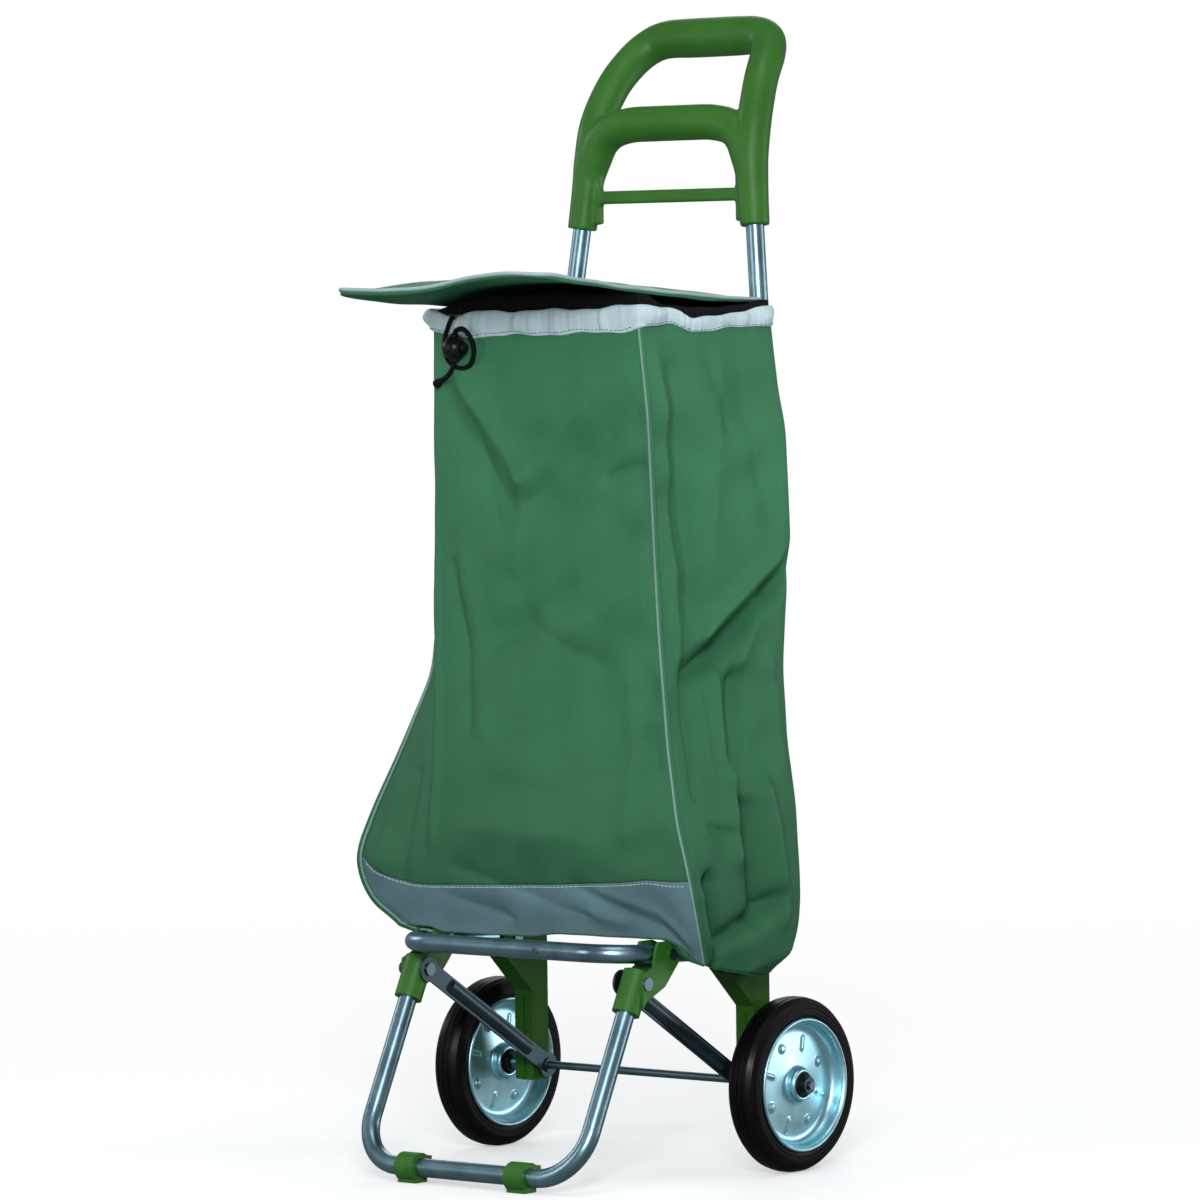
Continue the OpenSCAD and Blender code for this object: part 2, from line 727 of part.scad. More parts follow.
module lid_panel() {
    over = [for (i = [len(lid_line) - 1 : -1 : 0]) lid_line[i] + [0, lid_sheet]];
    color(fabric_green) in_place() intersection() {
        translate([-lid_half, 0, 0]) rotate([90, 0, 90]) linear_extrude(2 * lid_half)
            polygon(concat(lid_line, over));
        translate([0, 0, 700]) linear_extrude(200) union() {
            translate([-lid_half, lid_front + lid_corner])
                square([2 * lid_half, lid_rear - lid_front - lid_corner]);
            translate([lid_corner - lid_half, lid_front])
                square([2 * (lid_half - lid_corner), 2 * lid_corner]);
            for (side = [-1, 1])
                translate([side * (lid_half - lid_corner), lid_front + lid_corner]) circle(r = lid_corner);
        }
    }
}

function lid_z(y) = lookup(y, [for (i = [len(lid_line) - 1 : -1 : 0]) lid_line[i]]) + lid_sheet / 2;
module lid_binding() {
    out = binding_d / 2 + binding_gap;
    half = lid_half + out;
    front = lid_front - out;
    r = lid_corner + out;
    right = concat([for (y = [lid_rear - 2, 0, -40, -110, -174]) [half, y]],
        [for (a = [0 : 15 : 90]) [half - r + r * cos(a), front + r - r * sin(a)]]);
    plan = concat(right, [for (i = [len(right) - 1 : -1 : 0]) [-right[i].x, right[i].y]]);
    route = [for (p = plan) [p.x, p.y, lid_z(max(p.y, lid_front))]];
    color(hem_grey) in_place() sweep(route, binding_d, 10, [0, 0, 1]);
}

// ---- drawstring ----

module drawstring_cord() {
    color(black) sweep(cord_route, cord_d, 8, [0, -1, 0.03]);
}

module cord_lock_body() {
    color(black) translate(lock_at) difference() {
        sphere(r = lock_r);
        rotate([0, 90, 0]) translate([0, 0, lock_bore_end]) cylinder(h = 40, d = plunger_d + 2 * run_gap);
        cylinder(h = 40, d = lock_slot_w, center = true);
    }
}

// Plunger with a slot that the cord passes through
module cord_lock_button() {
    slot_start = -1.9;
    slot = 6.2;
    color(black) translate(lock_at) difference() {
        rotate([0, 90, 0]) translate([0, 0, plunger_in])
            cylinder(h = plunger_out - plunger_in, d = plunger_d);
        translate([slot_start, -lock_slot_w / 2, -20]) cube([slot, lock_slot_w, 40]);
    }
}

module cord_lock_spring() {
    turns = 2;
    steps = 12;
    wire = 0.5;
    coil_r = 3;
    rise = 1.6;
    color(steel_grey) translate(lock_at + [lock_bore_end + wire / 2 + 0.1, 0, 0])
        sweep([for (i = [0 : turns * steps]) [rise * i / steps / turns,
            coil_r * cos(360 * i / steps), coil_r * sin(360 * i / steps)]], wire, 6, [1, 0, 0]);
}

handle_grip();
handle_screws();
upright_left();
upright_right();
axle_bracket_left();
axle_bracket_right();
bracket_rivets();
platform_pivot_pins();
axle_rod();
axle_spacers();
axle_clips();
platform_tube();
platform_bar_rivet();
foot_pivot_pins();
foot_tube();
foot_joint_left();
foot_joint_right();
foot_joint_pins();
foot_clip_left();
foot_clip_right();
strut_left();
strut_right();
strut_rivet_left();
strut_rivet_right();
tyre_left();
tyre_right();
rim_outer_left();
rim_outer_right();
rim_inner_left();
rim_inner_right();
hub_tube_left();
hub_tube_right();
hub_bush_left();
hub_bush_right();
rim_rivets_left();
rim_rivets_right();
bag_front_panel();
bag_lower_panel();
bag_side_left();
bag_side_right();
bag_back_panel();
bag_base_panel();
bag_piping_left();
bag_piping_right();
bag_hem();
bag_collar();
bag_tube_loops();
lid_panel();
lid_binding();
drawstring_cord();
cord_lock_body();
cord_lock_button();
cord_lock_spring();
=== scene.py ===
"""Folding two-wheeled shopping trolley: bag, lid, drawstring, handle and rims, dressed over its CAD."""
import json
import math

import bpy
import numpy as np
from mathutils import Matrix, Vector


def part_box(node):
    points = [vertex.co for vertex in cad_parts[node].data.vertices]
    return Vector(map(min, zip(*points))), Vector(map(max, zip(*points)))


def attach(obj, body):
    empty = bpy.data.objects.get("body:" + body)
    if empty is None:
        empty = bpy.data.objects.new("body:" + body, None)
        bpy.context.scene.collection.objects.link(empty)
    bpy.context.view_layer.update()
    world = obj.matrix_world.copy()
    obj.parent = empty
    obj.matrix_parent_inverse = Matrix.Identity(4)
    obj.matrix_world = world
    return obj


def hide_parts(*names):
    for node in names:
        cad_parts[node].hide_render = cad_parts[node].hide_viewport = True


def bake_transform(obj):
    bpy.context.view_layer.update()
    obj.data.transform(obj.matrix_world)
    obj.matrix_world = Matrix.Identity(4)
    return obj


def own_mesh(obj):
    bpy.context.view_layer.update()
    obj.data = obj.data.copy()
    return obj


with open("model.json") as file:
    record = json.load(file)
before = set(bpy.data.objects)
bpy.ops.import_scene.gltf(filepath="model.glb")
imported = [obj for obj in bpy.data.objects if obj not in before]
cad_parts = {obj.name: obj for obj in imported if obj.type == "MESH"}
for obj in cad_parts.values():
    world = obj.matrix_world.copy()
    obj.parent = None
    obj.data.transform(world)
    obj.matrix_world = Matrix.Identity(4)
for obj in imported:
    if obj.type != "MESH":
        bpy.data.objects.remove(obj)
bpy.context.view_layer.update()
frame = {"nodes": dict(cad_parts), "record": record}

# Shapes are written in millimetres with y measured from the wheels' axle, as in the CAD source.
MM = 0.001
AXLE_LOW, AXLE_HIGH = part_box("axle_rod")
AXLE_Y = (AXLE_LOW[1] + AXLE_HIGH[1]) / 2 / MM
AXLE_Z = (AXLE_LOW[2] + AXLE_HIGH[2]) / 2 / MM
WHEEL_X = (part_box("tyre_right")[0][0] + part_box("tyre_right")[1][0]) / 2 / MM
RNG = np.random.default_rng(7)


# ---- camera ----

# Fitted to the wheels, foot and platform. Degrees, and metres with y from the axle
CAMERA_TURNS = (40.056, -2.435, -0.828)
CAMERA_PLACE = (3.72098, -4.47386, 0.73364)
CAMERA_LENS = 201.6


def add_camera():
    yaw, pitch, roll = (math.radians(a) for a in CAMERA_TURNS)
    forward = np.array([-math.sin(yaw) * math.cos(pitch), math.cos(yaw) * math.cos(pitch), math.sin(pitch)])
    level = np.array([math.cos(yaw), math.sin(yaw), 0.0])
    upright = np.cross(level, forward)
    right = math.cos(roll) * level + math.sin(roll) * upright
    up = math.cos(roll) * upright - math.sin(roll) * level
    data = bpy.data.cameras.new("camera")
    data.sensor_width = 36
    data.lens = CAMERA_LENS
    data.clip_end = 100
    camera = bpy.data.objects.new("camera", data)
    turn = Matrix(np.column_stack([right, up, -forward]).tolist()).to_4x4()
    x, y, z = CAMERA_PLACE
    place = Matrix.Translation((x, y + AXLE_Y * MM, z))
    camera.matrix_world = place @ turn
    bpy.context.scene.collection.objects.link(camera)
    bpy.context.scene.camera = camera


# ---- materials ----

class Look:
    """A material under construction. Each method adds one node and returns its output."""

    def __init__(self, name, color, roughness, metallic=0.0, **sockets):
        self.material = bpy.data.materials.new(name)
        self.material.use_nodes = True
        self.tree = self.material.node_tree
        self.shader = self.tree.nodes["Principled BSDF"]
        self.shader.inputs["Base Color"].default_value = (*color, 1)
        self.shader.inputs["Roughness"].default_value = roughness
        self.shader.inputs["Metallic"].default_value = metallic
        for socket, value in sockets.items():
            self.shader.inputs[socket.replace("_", " ")].default_value = value
        self.place = self.add("ShaderNodeTexCoord").outputs["Object"]

    def add(self, kind, **values):
        node = self.tree.nodes.new(kind)
        for key, value in values.items():
            setattr(node, key, value)
        return node

    def feed(self, value, socket):
        if isinstance(value, bpy.types.NodeSocket):
            self.tree.links.new(value, socket)
        else:
            socket.default_value = value

    def math(self, operation, a, b=0.0):
        node = self.add("ShaderNodeMath", operation=operation)
        self.feed(a, node.inputs[0])
        self.feed(b, node.inputs[1])
        return node.outputs[0]

    def axes(self):
        node = self.add("ShaderNodeSeparateXYZ")
        self.feed(self.place, node.inputs[0])
        return node.outputs

    def stretch(self, scale):
        node = self.add("ShaderNodeMapping")
        self.feed(self.place, node.inputs["Vector"])
        node.inputs["Scale"].default_value = scale
        return node.outputs[0]

    def noise(self, scale, detail, vector=None):
        node = self.add("ShaderNodeTexNoise")
        self.feed(self.place if vector is None else vector, node.inputs["Vector"])
        node.inputs["Scale"].default_value = scale
        node.inputs["Detail"].default_value = detail
        return node.outputs["Fac"]

    def spread(self, value, low, high, to_low=0.0, to_high=1.0):
        node = self.add("ShaderNodeMapRange")
        self.feed(value, node.inputs["Value"])
        for socket, number in zip(("From Min", "From Max", "To Min", "To Max"), (low, high, to_low, to_high)):
            node.inputs[socket].default_value = number
        return node.outputs["Result"]

    def mix(self, share, a, b):
        node = self.add("ShaderNodeMix", data_type="RGBA")
        self.feed(share, node.inputs["Factor"])
        for value, socket in ((a, node.inputs[6]), (b, node.inputs[7])):
            self.feed(value if isinstance(value, bpy.types.NodeSocket) else (*value, 1), socket)
        return node.outputs[2]

    def bump(self, height, strength, depth_mm, under=None):
        node = self.add("ShaderNodeBump")
        node.inputs["Strength"].default_value = strength
        node.inputs["Distance"].default_value = depth_mm * MM
        self.feed(height, node.inputs["Height"])
        if under is not None:
            self.feed(under, node.inputs["Normal"])
        return node.outputs["Normal"]

    def finish(self, color=None, roughness=None, normal=None):
        for value, socket in ((color, "Base Color"), (roughness, "Roughness"), (normal, "Normal")):
            if value is not None:
                self.feed(value, self.shader.inputs[socket])
        return self.material


def shade(color, factor):
    return tuple(c * factor for c in color)


def cloth_look(name, color, thread_mm, roughness, weave=0.45, mottle=0.08, bottom_shade=1.0):
    """Plain weave: threads run up the panel and round it, so x + y serves every side of the bag."""
    look = Look(name, color, roughness, Specular_IOR_Level=0.22)
    x, y, z = look.axes()
    turn = 2 * math.pi / (thread_mm * MM)
    warp = look.math("SINE", look.math("MULTIPLY", look.math("ADD", x, y), turn))
    weft = look.math("SINE", look.math("MULTIPLY", z, turn))
    threads = look.math("MULTIPLY", warp, weft)
    slub = look.noise(900, 2, look.stretch((1, 1, 0.06)))
    patches = look.noise(14, 4)
    fine = look.noise(160, 3)
    tone = look.mix(look.spread(patches, 0.3, 0.7), shade(color, 1 - mottle), shade(color, 1 + mottle))
    tone = look.mix(look.spread(fine, 0.35, 0.65, 0, 0.25), tone, shade(color, 0.82))
    tone = look.mix(look.spread(threads, -1, 1, 0, 0.22), tone, shade(color, 0.7))
    tone = look.mix(look.spread(slub, 0.45, 0.75, 0, 0.2), tone, shade(color, 1.35))
    grain = look.noise(620, 2)
    tone = look.mix(look.spread(grain, 0.35, 0.65, 0, 0.28), tone, shade(color, 0.72))
    # Painted shade: the cloth is painted darker towards the bottom of the bag.
    if bottom_shade < 1:
        low = look.spread(look.math("ADD", z, look.math("MULTIPLY", patches, 0.12)), 0.26, 0.66, 1, 0)
        tone = look.mix(low, tone, shade(color, bottom_shade))
    rough = look.spread(patches, 0.3, 0.7, roughness - 0.06, roughness + 0.06)
    normal = look.bump(threads, weave, thread_mm * 0.25)
    normal = look.bump(fine, 0.12, 0.6, normal)
    return look.finish(tone, rough, normal)


def plastic_look(name, color, roughness, shine=0.45):
    look = Look(name, color, roughness, Specular_IOR_Level=shine)
    grain = look.noise(1500, 2)
    flow = look.noise(22, 3)
    scuffs = look.noise(90, 5, look.stretch((1, 1, 0.15)))
    tone = look.mix(look.spread(flow, 0.3, 0.7), shade(color, 0.88), shade(color, 1.12))
    tone = look.mix(look.spread(scuffs, 0.62, 0.8, 0, 0.35), tone, shade(color, 1.6))
    rough = look.spread(scuffs, 0.3, 0.8, roughness - 0.05, roughness + 0.12)
    normal = look.bump(grain, 0.25, 0.08)
    return look.finish(tone, rough, look.bump(flow, 0.1, 1.5, normal))


def steel_look(name, color, roughness):
    """Drawn, zinc-plated tube: faint lengthwise streaks, cloudy plating and a few darker scratches."""
    look = Look(name, color, roughness, 1.0)
    cloud = look.noise(35, 4)
    streak = look.noise(700, 2, look.stretch((1, 1, 0.04)))
    scratch = look.noise(260, 6, look.stretch((0.3, 1, 1)))
    tone = look.mix(look.spread(cloud, 0.3, 0.7), shade(color, 0.8), shade(color, 1.15))
    tone = look.mix(look.spread(scratch, 0.62, 0.75, 0, 0.3), tone, shade(color, 0.5))
    rough = look.spread(cloud, 0.3, 0.7, roughness - 0.04, roughness + 0.07)
    return look.finish(tone, rough, look.bump(streak, 0.03, 0.015))


def rubber_look(name, color, roughness):
    look = Look(name, color, roughness, Specular_IOR_Level=0.13)
    dust = look.noise(45, 5)
    pores = look.noise(1200, 2)
    tone = look.mix(look.spread(dust, 0.55, 0.75, 0, 0.6), color, shade(color, 2.6))
    rough = look.spread(dust, 0.3, 0.7, roughness - 0.08, roughness + 0.12)
    return look.finish(tone, rough, look.bump(pores, 0.2, 0.1))


def cord_look(name, color):
    look = Look(name, color, 0.6, Specular_IOR_Level=0.12)
    x, _, z = look.axes()
    turn = 2 * math.pi / (1.3 * MM)
    one = look.math("SINE", look.math("MULTIPLY", look.math("ADD", x, z), turn))
    other = look.math("SINE", look.math("MULTIPLY", look.math("SUBTRACT", x, z), turn))
    braid = look.math("MULTIPLY", one, other)
    tone = look.mix(look.spread(braid, -1, 1), shade(color, 0.7), shade(color, 2.2))
    return look.finish(tone, None, look.bump(braid, 0.6, 0.3))


def floor_look():
    """Pale floor that fades out far from the trolley, so that it has no hard edge."""
    look = Look("pale_floor", (0.86, 0.87, 0.87), 0.75)
    far = look.add("ShaderNodeVectorMath", operation="LENGTH")
    look.feed(look.place, far.inputs[0])
    clear = look.add("ShaderNodeBsdfTransparent")
    blend = look.add("ShaderNodeMixShader")
    look.feed(look.spread(far.outputs["Value"], 0.5, 2.6), blend.inputs[0])
    look.feed(look.shader.outputs[0], blend.inputs[1])
    look.feed(clear.outputs[0], blend.inputs[2])
    speckle = look.noise(40, 4)
    seen = look.add("ShaderNodeLightPath").outputs["Is Camera Ray"]
    look.finish(look.mix(seen, (0.26, 0.27, 0.27), look.mix(speckle, (0.91, 0.92, 0.92), (0.95, 0.96, 0.96))))
    look.shader.inputs["Emission Color"].default_value = (1, 1, 1, 1)
    look.feed(look.math("MULTIPLY", seen, 0.42), look.shader.inputs["Emission Strength"])
    look.feed(blend.outputs[0], look.tree.nodes["Material Output"].inputs["Surface"])
    return look.material


# Colours are linear
LOOKS = {
    "green_plastic": plastic_look("green_plastic", (0.036, 0.176, 0.017), 0.44, 0.38),
    # Painted shade: a darker, duller copy of the green plastic, for the axle brackets in the shadow under the
    # bag.
    "bracket_plastic_painted_shade": plastic_look("bracket_plastic_painted_shade", (0.022, 0.105, 0.009), 0.55, 0.15),
    "tube_steel": steel_look("tube_steel", (0.25, 0.40, 0.48), 0.30),
    "strut_steel": steel_look("strut_steel", (0.085, 0.125, 0.15), 0.42),
    "bright_steel": steel_look("bright_steel", (0.16, 0.24, 0.28), 0.36),
    "zinc_steel": steel_look("zinc_steel", (0.48, 0.82, 0.93), 0.36),
    "tyre_rubber": rubber_look("tyre_rubber", (0.003, 0.003, 0.004), 0.36),
    "black_plastic": plastic_look("black_plastic", (0.005, 0.006, 0.007), 0.36, 0.25),
    # Darker towards the bottom of the bag: painted shade.
    "green_fabric": cloth_look("green_fabric", (0.060, 0.262, 0.126), 0.7, 0.55, bottom_shade=0.62),
    "grey_fabric": cloth_look("grey_fabric", (0.19, 0.35, 0.39), 1.5, 0.55, 0.8, 0.2),
    "trim_fabric": cloth_look("trim_fabric", (0.74, 0.93, 1.0), 0.6, 0.55, 0.35, 0.10),
    # Painted shade: a darker copy of the trim, for the lid's binding, which is the same tape.
    "lid_trim_painted_shade": cloth_look("lid_trim_painted_shade", (0.50, 0.68, 0.70), 0.6, 0.55, 0.35, 0.10),
    "piping_fabric": cloth_look("piping_fabric", (0.26, 0.45, 0.39), 0.6, 0.55, 0.35, 0.10),
    "black_fabric": cloth_look("black_fabric", (0.004, 0.0045, 0.006), 0.8, 0.8, 0.5, 0.3),
    "black_cord": cord_look("black_cord", (0.004, 0.004, 0.005)),
}


# ---- building pieces ----

def in_frame(points):
    """Millimetres from the axle to metres in the trolley's frame."""
    return (np.asarray(points, float).reshape(-1, 3) + (0, AXLE_Y, 0)) * MM


def piece(name, points, faces, body, slot, *nodes, look=None):
    """A mesh piece that rides on a body, takes its looks from a slot and stands for the CAD nodes."""
    mesh = bpy.data.meshes.new(name)
    mesh.from_pydata(in_frame(points).tolist(), [], faces)
    mesh.validate()
    mesh.polygons.foreach_set("use_smooth", [True] * len(mesh.polygons))
    mesh.materials.append(LOOKS[look or slot])
    obj = bpy.data.objects.new(name, mesh)
    bpy.context.scene.collection.objects.link(obj)
    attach(obj, body)
    if nodes:
        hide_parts(*nodes)
    return obj


def grid_faces(rows, cols, closed=False, start=0):
    """Faces of a grid of points, row after row; closed joins the last column to the first."""
    spans = cols if closed else cols - 1
    return [(start + r * cols + c, start + r * cols + (c + 1) % cols,
             start + (r + 1) * cols + (c + 1) % cols, start + (r + 1) * cols + c)
            for r in range(rows - 1) for c in range(spans)]


CLOTH_THICKNESS = 0.8


def thicken(obj, thickness_mm, offset=-1.0):
    """Gives a sheet a thickness: offset -1 adds it behind the faces, and 1 in front of them."""
    shell = obj.modifiers.new("thickness", "SOLIDIFY")
    shell.thickness = thickness_mm * MM
    shell.offset = offset
    shell.use_even_offset = False


def smoothstep(t):
    t = np.clip(t, 0, 1)
    return t * t * (3 - 2 * t)


def curve_through(points, per_span):
    """Catmull-Rom curve through the points, with per_span steps between each two."""
    p = np.asarray(points, float)
    p = np.vstack([2 * p[0] - p[1], p, 2 * p[-1] - p[-2]])
    t = np.linspace(0, 1, per_span, endpoint=False)[:, None]
    spans = [0.5 * (2 * b + (c - a) * t + (2 * a - 5 * b + 4 * c - d) * t ** 2
                    + (3 * b - a - 3 * c + d) * t ** 3)
             for a, b, c, d in zip(p, p[1:], p[2:], p[3:])]
    return np.vstack(spans + [p[-2:-1]])


def tube_shape(path, radius, sides):
    """Points and faces of a round tube along a path. radius is one number or one for each point."""
    path = np.asarray(path, float)
    count = len(path)
    radius = np.broadcast_to(radius, count)
    ahead = np.gradient(path, axis=0)
    ahead /= np.linalg.norm(ahead, axis=1)[:, None]
    side = np.cross(ahead[0], (0, 0, 1) if abs(ahead[0][2]) < 0.9 else (0, 1, 0))
    points = []
    angles = np.arange(sides) * 2 * math.pi / sides
    for at, way, r in zip(path, ahead, radius):
        side = side - way * side.dot(way)
        side /= np.linalg.norm(side)
        lift = np.cross(way, side)
        points.append(at + r * (np.cos(angles)[:, None] * side + np.sin(angles)[:, None] * lift))
    points = np.array(points).reshape(-1, 3)
    faces = grid_faces(count, sides, closed=True)
    faces += [tuple(reversed(range(sides))), tuple(range((count - 1) * sides, count * sides))]
    return points, faces


def join_shapes(*shapes):
    """Points and faces of several shapes as one."""
    points, faces = [], []
    for some_points, some_faces in shapes:
        start = sum(len(p) for p in points)
        points.append(np.asarray(some_points, float).reshape(-1, 3))
        faces += [tuple(start + i for i in face) for face in some_faces]
    return np.vstack(points), faces


def along(rows, height, soften=12.0):
    """Values of a table of (height, value, ...) rows at the given heights, with its kinks softened."""
    rows = np.array(rows, float)
    taps = np.linspace(-soften, soften, 7)
    columns = [np.mean([np.interp(height + t, rows[:, 0], column) for t in taps], axis=0)
               for column in rows[:, 1:].T]
    return np.stack(columns, axis=-1)


# ---- drawstring, with its lock ----

CORD_RADIUS = 2.1
LOCK_MIDDLE = (-81.5, -140.5, 706.5)
# Metres in the trolley's frame: out of the mouth, round the loop, through the lock, to the frayed end
CORD_ROUTE = [
    (-0.087, -0.0671, 0.733), (-0.088, -0.0697, 0.731), (-0.091, -0.0706, 0.724), (-0.095, -0.070, 0.715),
    (-0.0965, -0.0685, 0.705), (-0.094, -0.067, 0.696), (-0.087, -0.0662, 0.6905), (-0.078, -0.0665, 0.689),
    (-0.069, -0.068, 0.692), (-0.063, -0.070, 0.699), (-0.061, -0.072, 0.708), (-0.064, -0.0735, 0.717),
    (-0.071, -0.0735, 0.7225), (-0.078, -0.0735, 0.722), (-0.0815, -0.0735, 0.7165),
    (-0.0815, -0.0735, 0.7065), (-0.0815, -0.0735, 0.696), (-0.084, -0.0735, 0.689),
    (-0.090, -0.0725, 0.683), (-0.098, -0.071, 0.679), (-0.106, -0.0695, 0.6755),
]


def move_with_bag(obj):
    """Gives a small piece its own copy of its mesh."""
    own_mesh(obj)


def lathe(profile, sides):
    """Points and faces of an (x, radius) outline turned about X."""
    angles = np.arange(sides) * 2 * math.pi / sides
    points = [(x, r * math.sin(a), r * math.cos(a)) for x, r in profile for a in angles]
    return np.array(points), grid_faces(len(profile), sides, closed=True)


def drawstring():
    route = curve_through(CORD_ROUTE, 6)
    centre = route / MM - (0, AXLE_Y, 0)
    frayed = CORD_RADIUS * (1 + 0.9 * smoothstep((np.arange(len(centre)) - len(centre) + 9) / 8))
    shape = tube_shape(centre, frayed, 14)
    cord = piece("drawstring", *shape, "frame", "black_cord", "drawstring_cord")

    middle = np.array(LOCK_MIDDLE)
    ball_r = 10.8
    bore_r = 5.0
    bore_end = 5.0
    steps = np.linspace(0, math.pi - math.asin(bore_r / ball_r), 25)
    ball_profile = []
    for a in steps:
        groove = 0.5 * math.exp(-((a - 1.25) / 0.05) ** 2)
        ball_profile.append((-ball_r * math.cos(a), max(0.02, (ball_r - groove) * math.sin(a))))
    ball_profile += [(ball_profile[-1][0] - 0.4, bore_r - 0.2), (bore_end, bore_r - 0.2), (bore_end, 0.02)]
    ball, ball_faces = lathe(ball_profile, 36)
    collar, collar_faces = tube_shape([(0, 0, 12.2), (0, 0, 11.4), (0, 0, 9)], [3.0, 4.0, 4.4], 18)
    foot, foot_faces = tube_shape([(0, 0, -9), (0, 0, -11.4), (0, 0, -12.2)], [4.4, 4.0, 3.0], 18)
    shape = join_shapes((ball, ball_faces), (collar, collar_faces), (foot, foot_faces))
    lock = piece("cord_lock", shape[0] + middle, shape[1], "frame", "black_plastic",
                 "cord_lock_body", "cord_lock_spring")
    plunger_profile = [(7.6, 0.02), (7.6, 4.3), (12.2, 4.3), (13, 3.6), (12.8, 2.0), (12.8, 0.02)]
    plunger, plunger_faces = lathe(plunger_profile, 32)
    button = piece("cord_lock_plunger", plunger + middle, plunger_faces, "lock_button", "black_plastic",
                   "cord_lock_button")
    for obj in (cord, lock, button):
        move_with_bag(obj)


# ---- bag ----

BAG_BOTTOM = 208
BAG_TOP = 735

# Lines up the bag: height, x, y. The piping follows the two front corners; the rear corners have no y.
FRONT_LEFT = [
    (208, -146, -134), (213, -162, -136), (221, -174, -141), (232, -181, -146), (243, -184, -149),
    (256, -187, -153), (272, -186, -154),
    (311, -175, -143), (354, -160, -130), (425, -141, -106), (500, -135, -100), (600, -131, -101),
    (700, -122, -113), (735, -118, -124)]
FRONT_CREASE = [
    (208, -112, -141), (250, -103, -157), (293, -96, -163), (353, -97, -154), (404, -108, -139),
    (454, -119, -126), (523, -121, -124), (645, -118, -128), (735, -115, -131)]
FRONT_RIGHT = [
    (208, 176, -128), (232, 185, -145), (265, 187, -159), (303, 171, -155), (368, 145, -135),
    (459, 124, -119), (526, 122, -121), (644, 122, -127), (735, 115, -131)]
REAR_RIGHT = [
    (208, 146), (213, 162), (221, 175), (232, 185), (245, 189), (267, 188), (318, 181), (368, 170),
    (436, 162), (522, 164), (556, 164), (632, 157), (675, 145), (735, 134)]
REAR_LEFT = [
    (208, -164), (218, -178), (240, -187), (318, -179), (380, -168), (450, -162), (560, -164),
    (640, -154), (700, -141), (735, -133)]
# Distance of the back panel's seams from the rear corners
BACK_SEAM = 16

# Folds of the front: x and height of both ends, half width, and height (below 0 for a valley)
FRONT_FOLDS = [
    (-92, 690, -16, 594, 12, 7.5), (-108, 668, -40, 580, 15, -7.0), (-16, 594, 48, 648, 14, 4.0),
    (-2, 584, 70, 628, 16, -6.0), (-17, 594, -28, 520, 9, 4.0), (-70, 640, -50, 560, 10, -3.5),
    (75, 597, 116, 608, 6, -4.0), (-101, 518, -66, 380, 6, -6.0), (-86, 520, -50, 385, 14, 5.0),
    (-22, 429, 118, 509, 24, 6.5), (-40, 458, 95, 540, 18, -6.0), (-10, 470, 60, 440, 8, -2.5),
    (-123, 338, -134, 250, 7, -5.0), (-150, 330, -160, 262, 8, 4.0), (118, 345, 150, 356, 6, -3.5),
    (20, 330, 60, 322, 10, -3.0), (-60, 300, 70, 292, 16, 3.4), (100, 420, 118, 300, 10, 4.0),
    (-95, 240, -30, 222, 7, -4.0), (-70, 262, 60, 226, 8, -5.5), (-40, 250, 90, 222, 9, 4.5),
    (60, 250, 150, 214, 9, -5.0), (90, 246, 168, 222, 7, 3.5)]
# Folds of the right side: distance from the piping in place of x
SIDE_FOLDS = [
    (14, 712, 17, 445, 8, 6.5), (31, 704, 35, 480, 12, -9), (80, 696, 62, 560, 12, 4.5),
    (100, 660, 120, 560, 14, -5), (66, 704, 82, 640, 9, -5), (152, 546, 48, 462, 9, 11),
    (152, 522, 38, 430, 10, -21), (28, 436, 22, 330, 4, -8), (40, 425, 42, 350, 6, 5),
    (60, 424, 56, 345, 9, 9), (56, 345, 58, 282, 8, 11), (82, 420, 80, 336, 9, -13),
    (83, 312, 86, 258, 8.5, -37), (106, 330, 112, 250, 9, 10), (34, 302, 52, 297, 5, -6),
    (25, 262, 26, 212, 6, -25), (42, 230, 106, 254, 6, -21), (14, 256, 15, 214, 6, 6),
    (80, 212, 132, 226, 12, 12), (122, 430, 132, 350, 12, 7), (112, 486, 88, 440, 8, 6)]
BACK_FOLDS = [
    (-120, 620, -20, 600, 12, 2.5), (30, 560, 120, 590, 12, -2.5), (-100, 420, 40, 440, 14, 2.5),
    (-60, 300, 120, 330, 12, -2.5), (-90, 240, 60, 232, 9, 2.5)]

# Folds of the left side, which the photo doesn't show: distance from the back seam, below 0
LEFT_FOLDS = [
    (-34, 690, -56, 540, 12, 5.5), (-60, 660, -80, 560, 11, -5), (-112, 640, -60, 560, 10, -5.5),
    (-70, 505, -24, 420, 10, -7), (-78, 520, -30, 442, 9, 4.5), (-96, 400, -112, 280, 12, 8),
    (-76, 390, -88, 290, 9, -8), (-44, 330, -66, 246, 9, -7), (-30, 330, -46, 250, 8, 4.5),
    (-128, 330, -134, 250, 9, -6), (-118, 480, -126, 390, 12, 5)]


# 2 makes round folds, and less makes creases
FOLD_CRISPNESS = 1.5


def fold_height(folds, u, height):
    """Sum of the folds at each place: every fold is a soft line that fades out at both ends."""
    total = np.zeros_like(u, float)
    for u0, h0, u1, h1, width, rise in folds:
        length = math.hypot(u1 - u0, h1 - h0)
        du, dh = (u1 - u0) / length, (h1 - h0) / length
        ahead = (u - u0) * du + (height - h0) * dh
        aside = (u - u0) * dh - (height - h0) * du
        past = np.maximum(0, np.maximum(-ahead, ahead - length))
        total += rise * np.exp(-np.abs(aside / width) ** FOLD_CRISPNESS - (past / (1.3 * width)) ** 2)
    return total


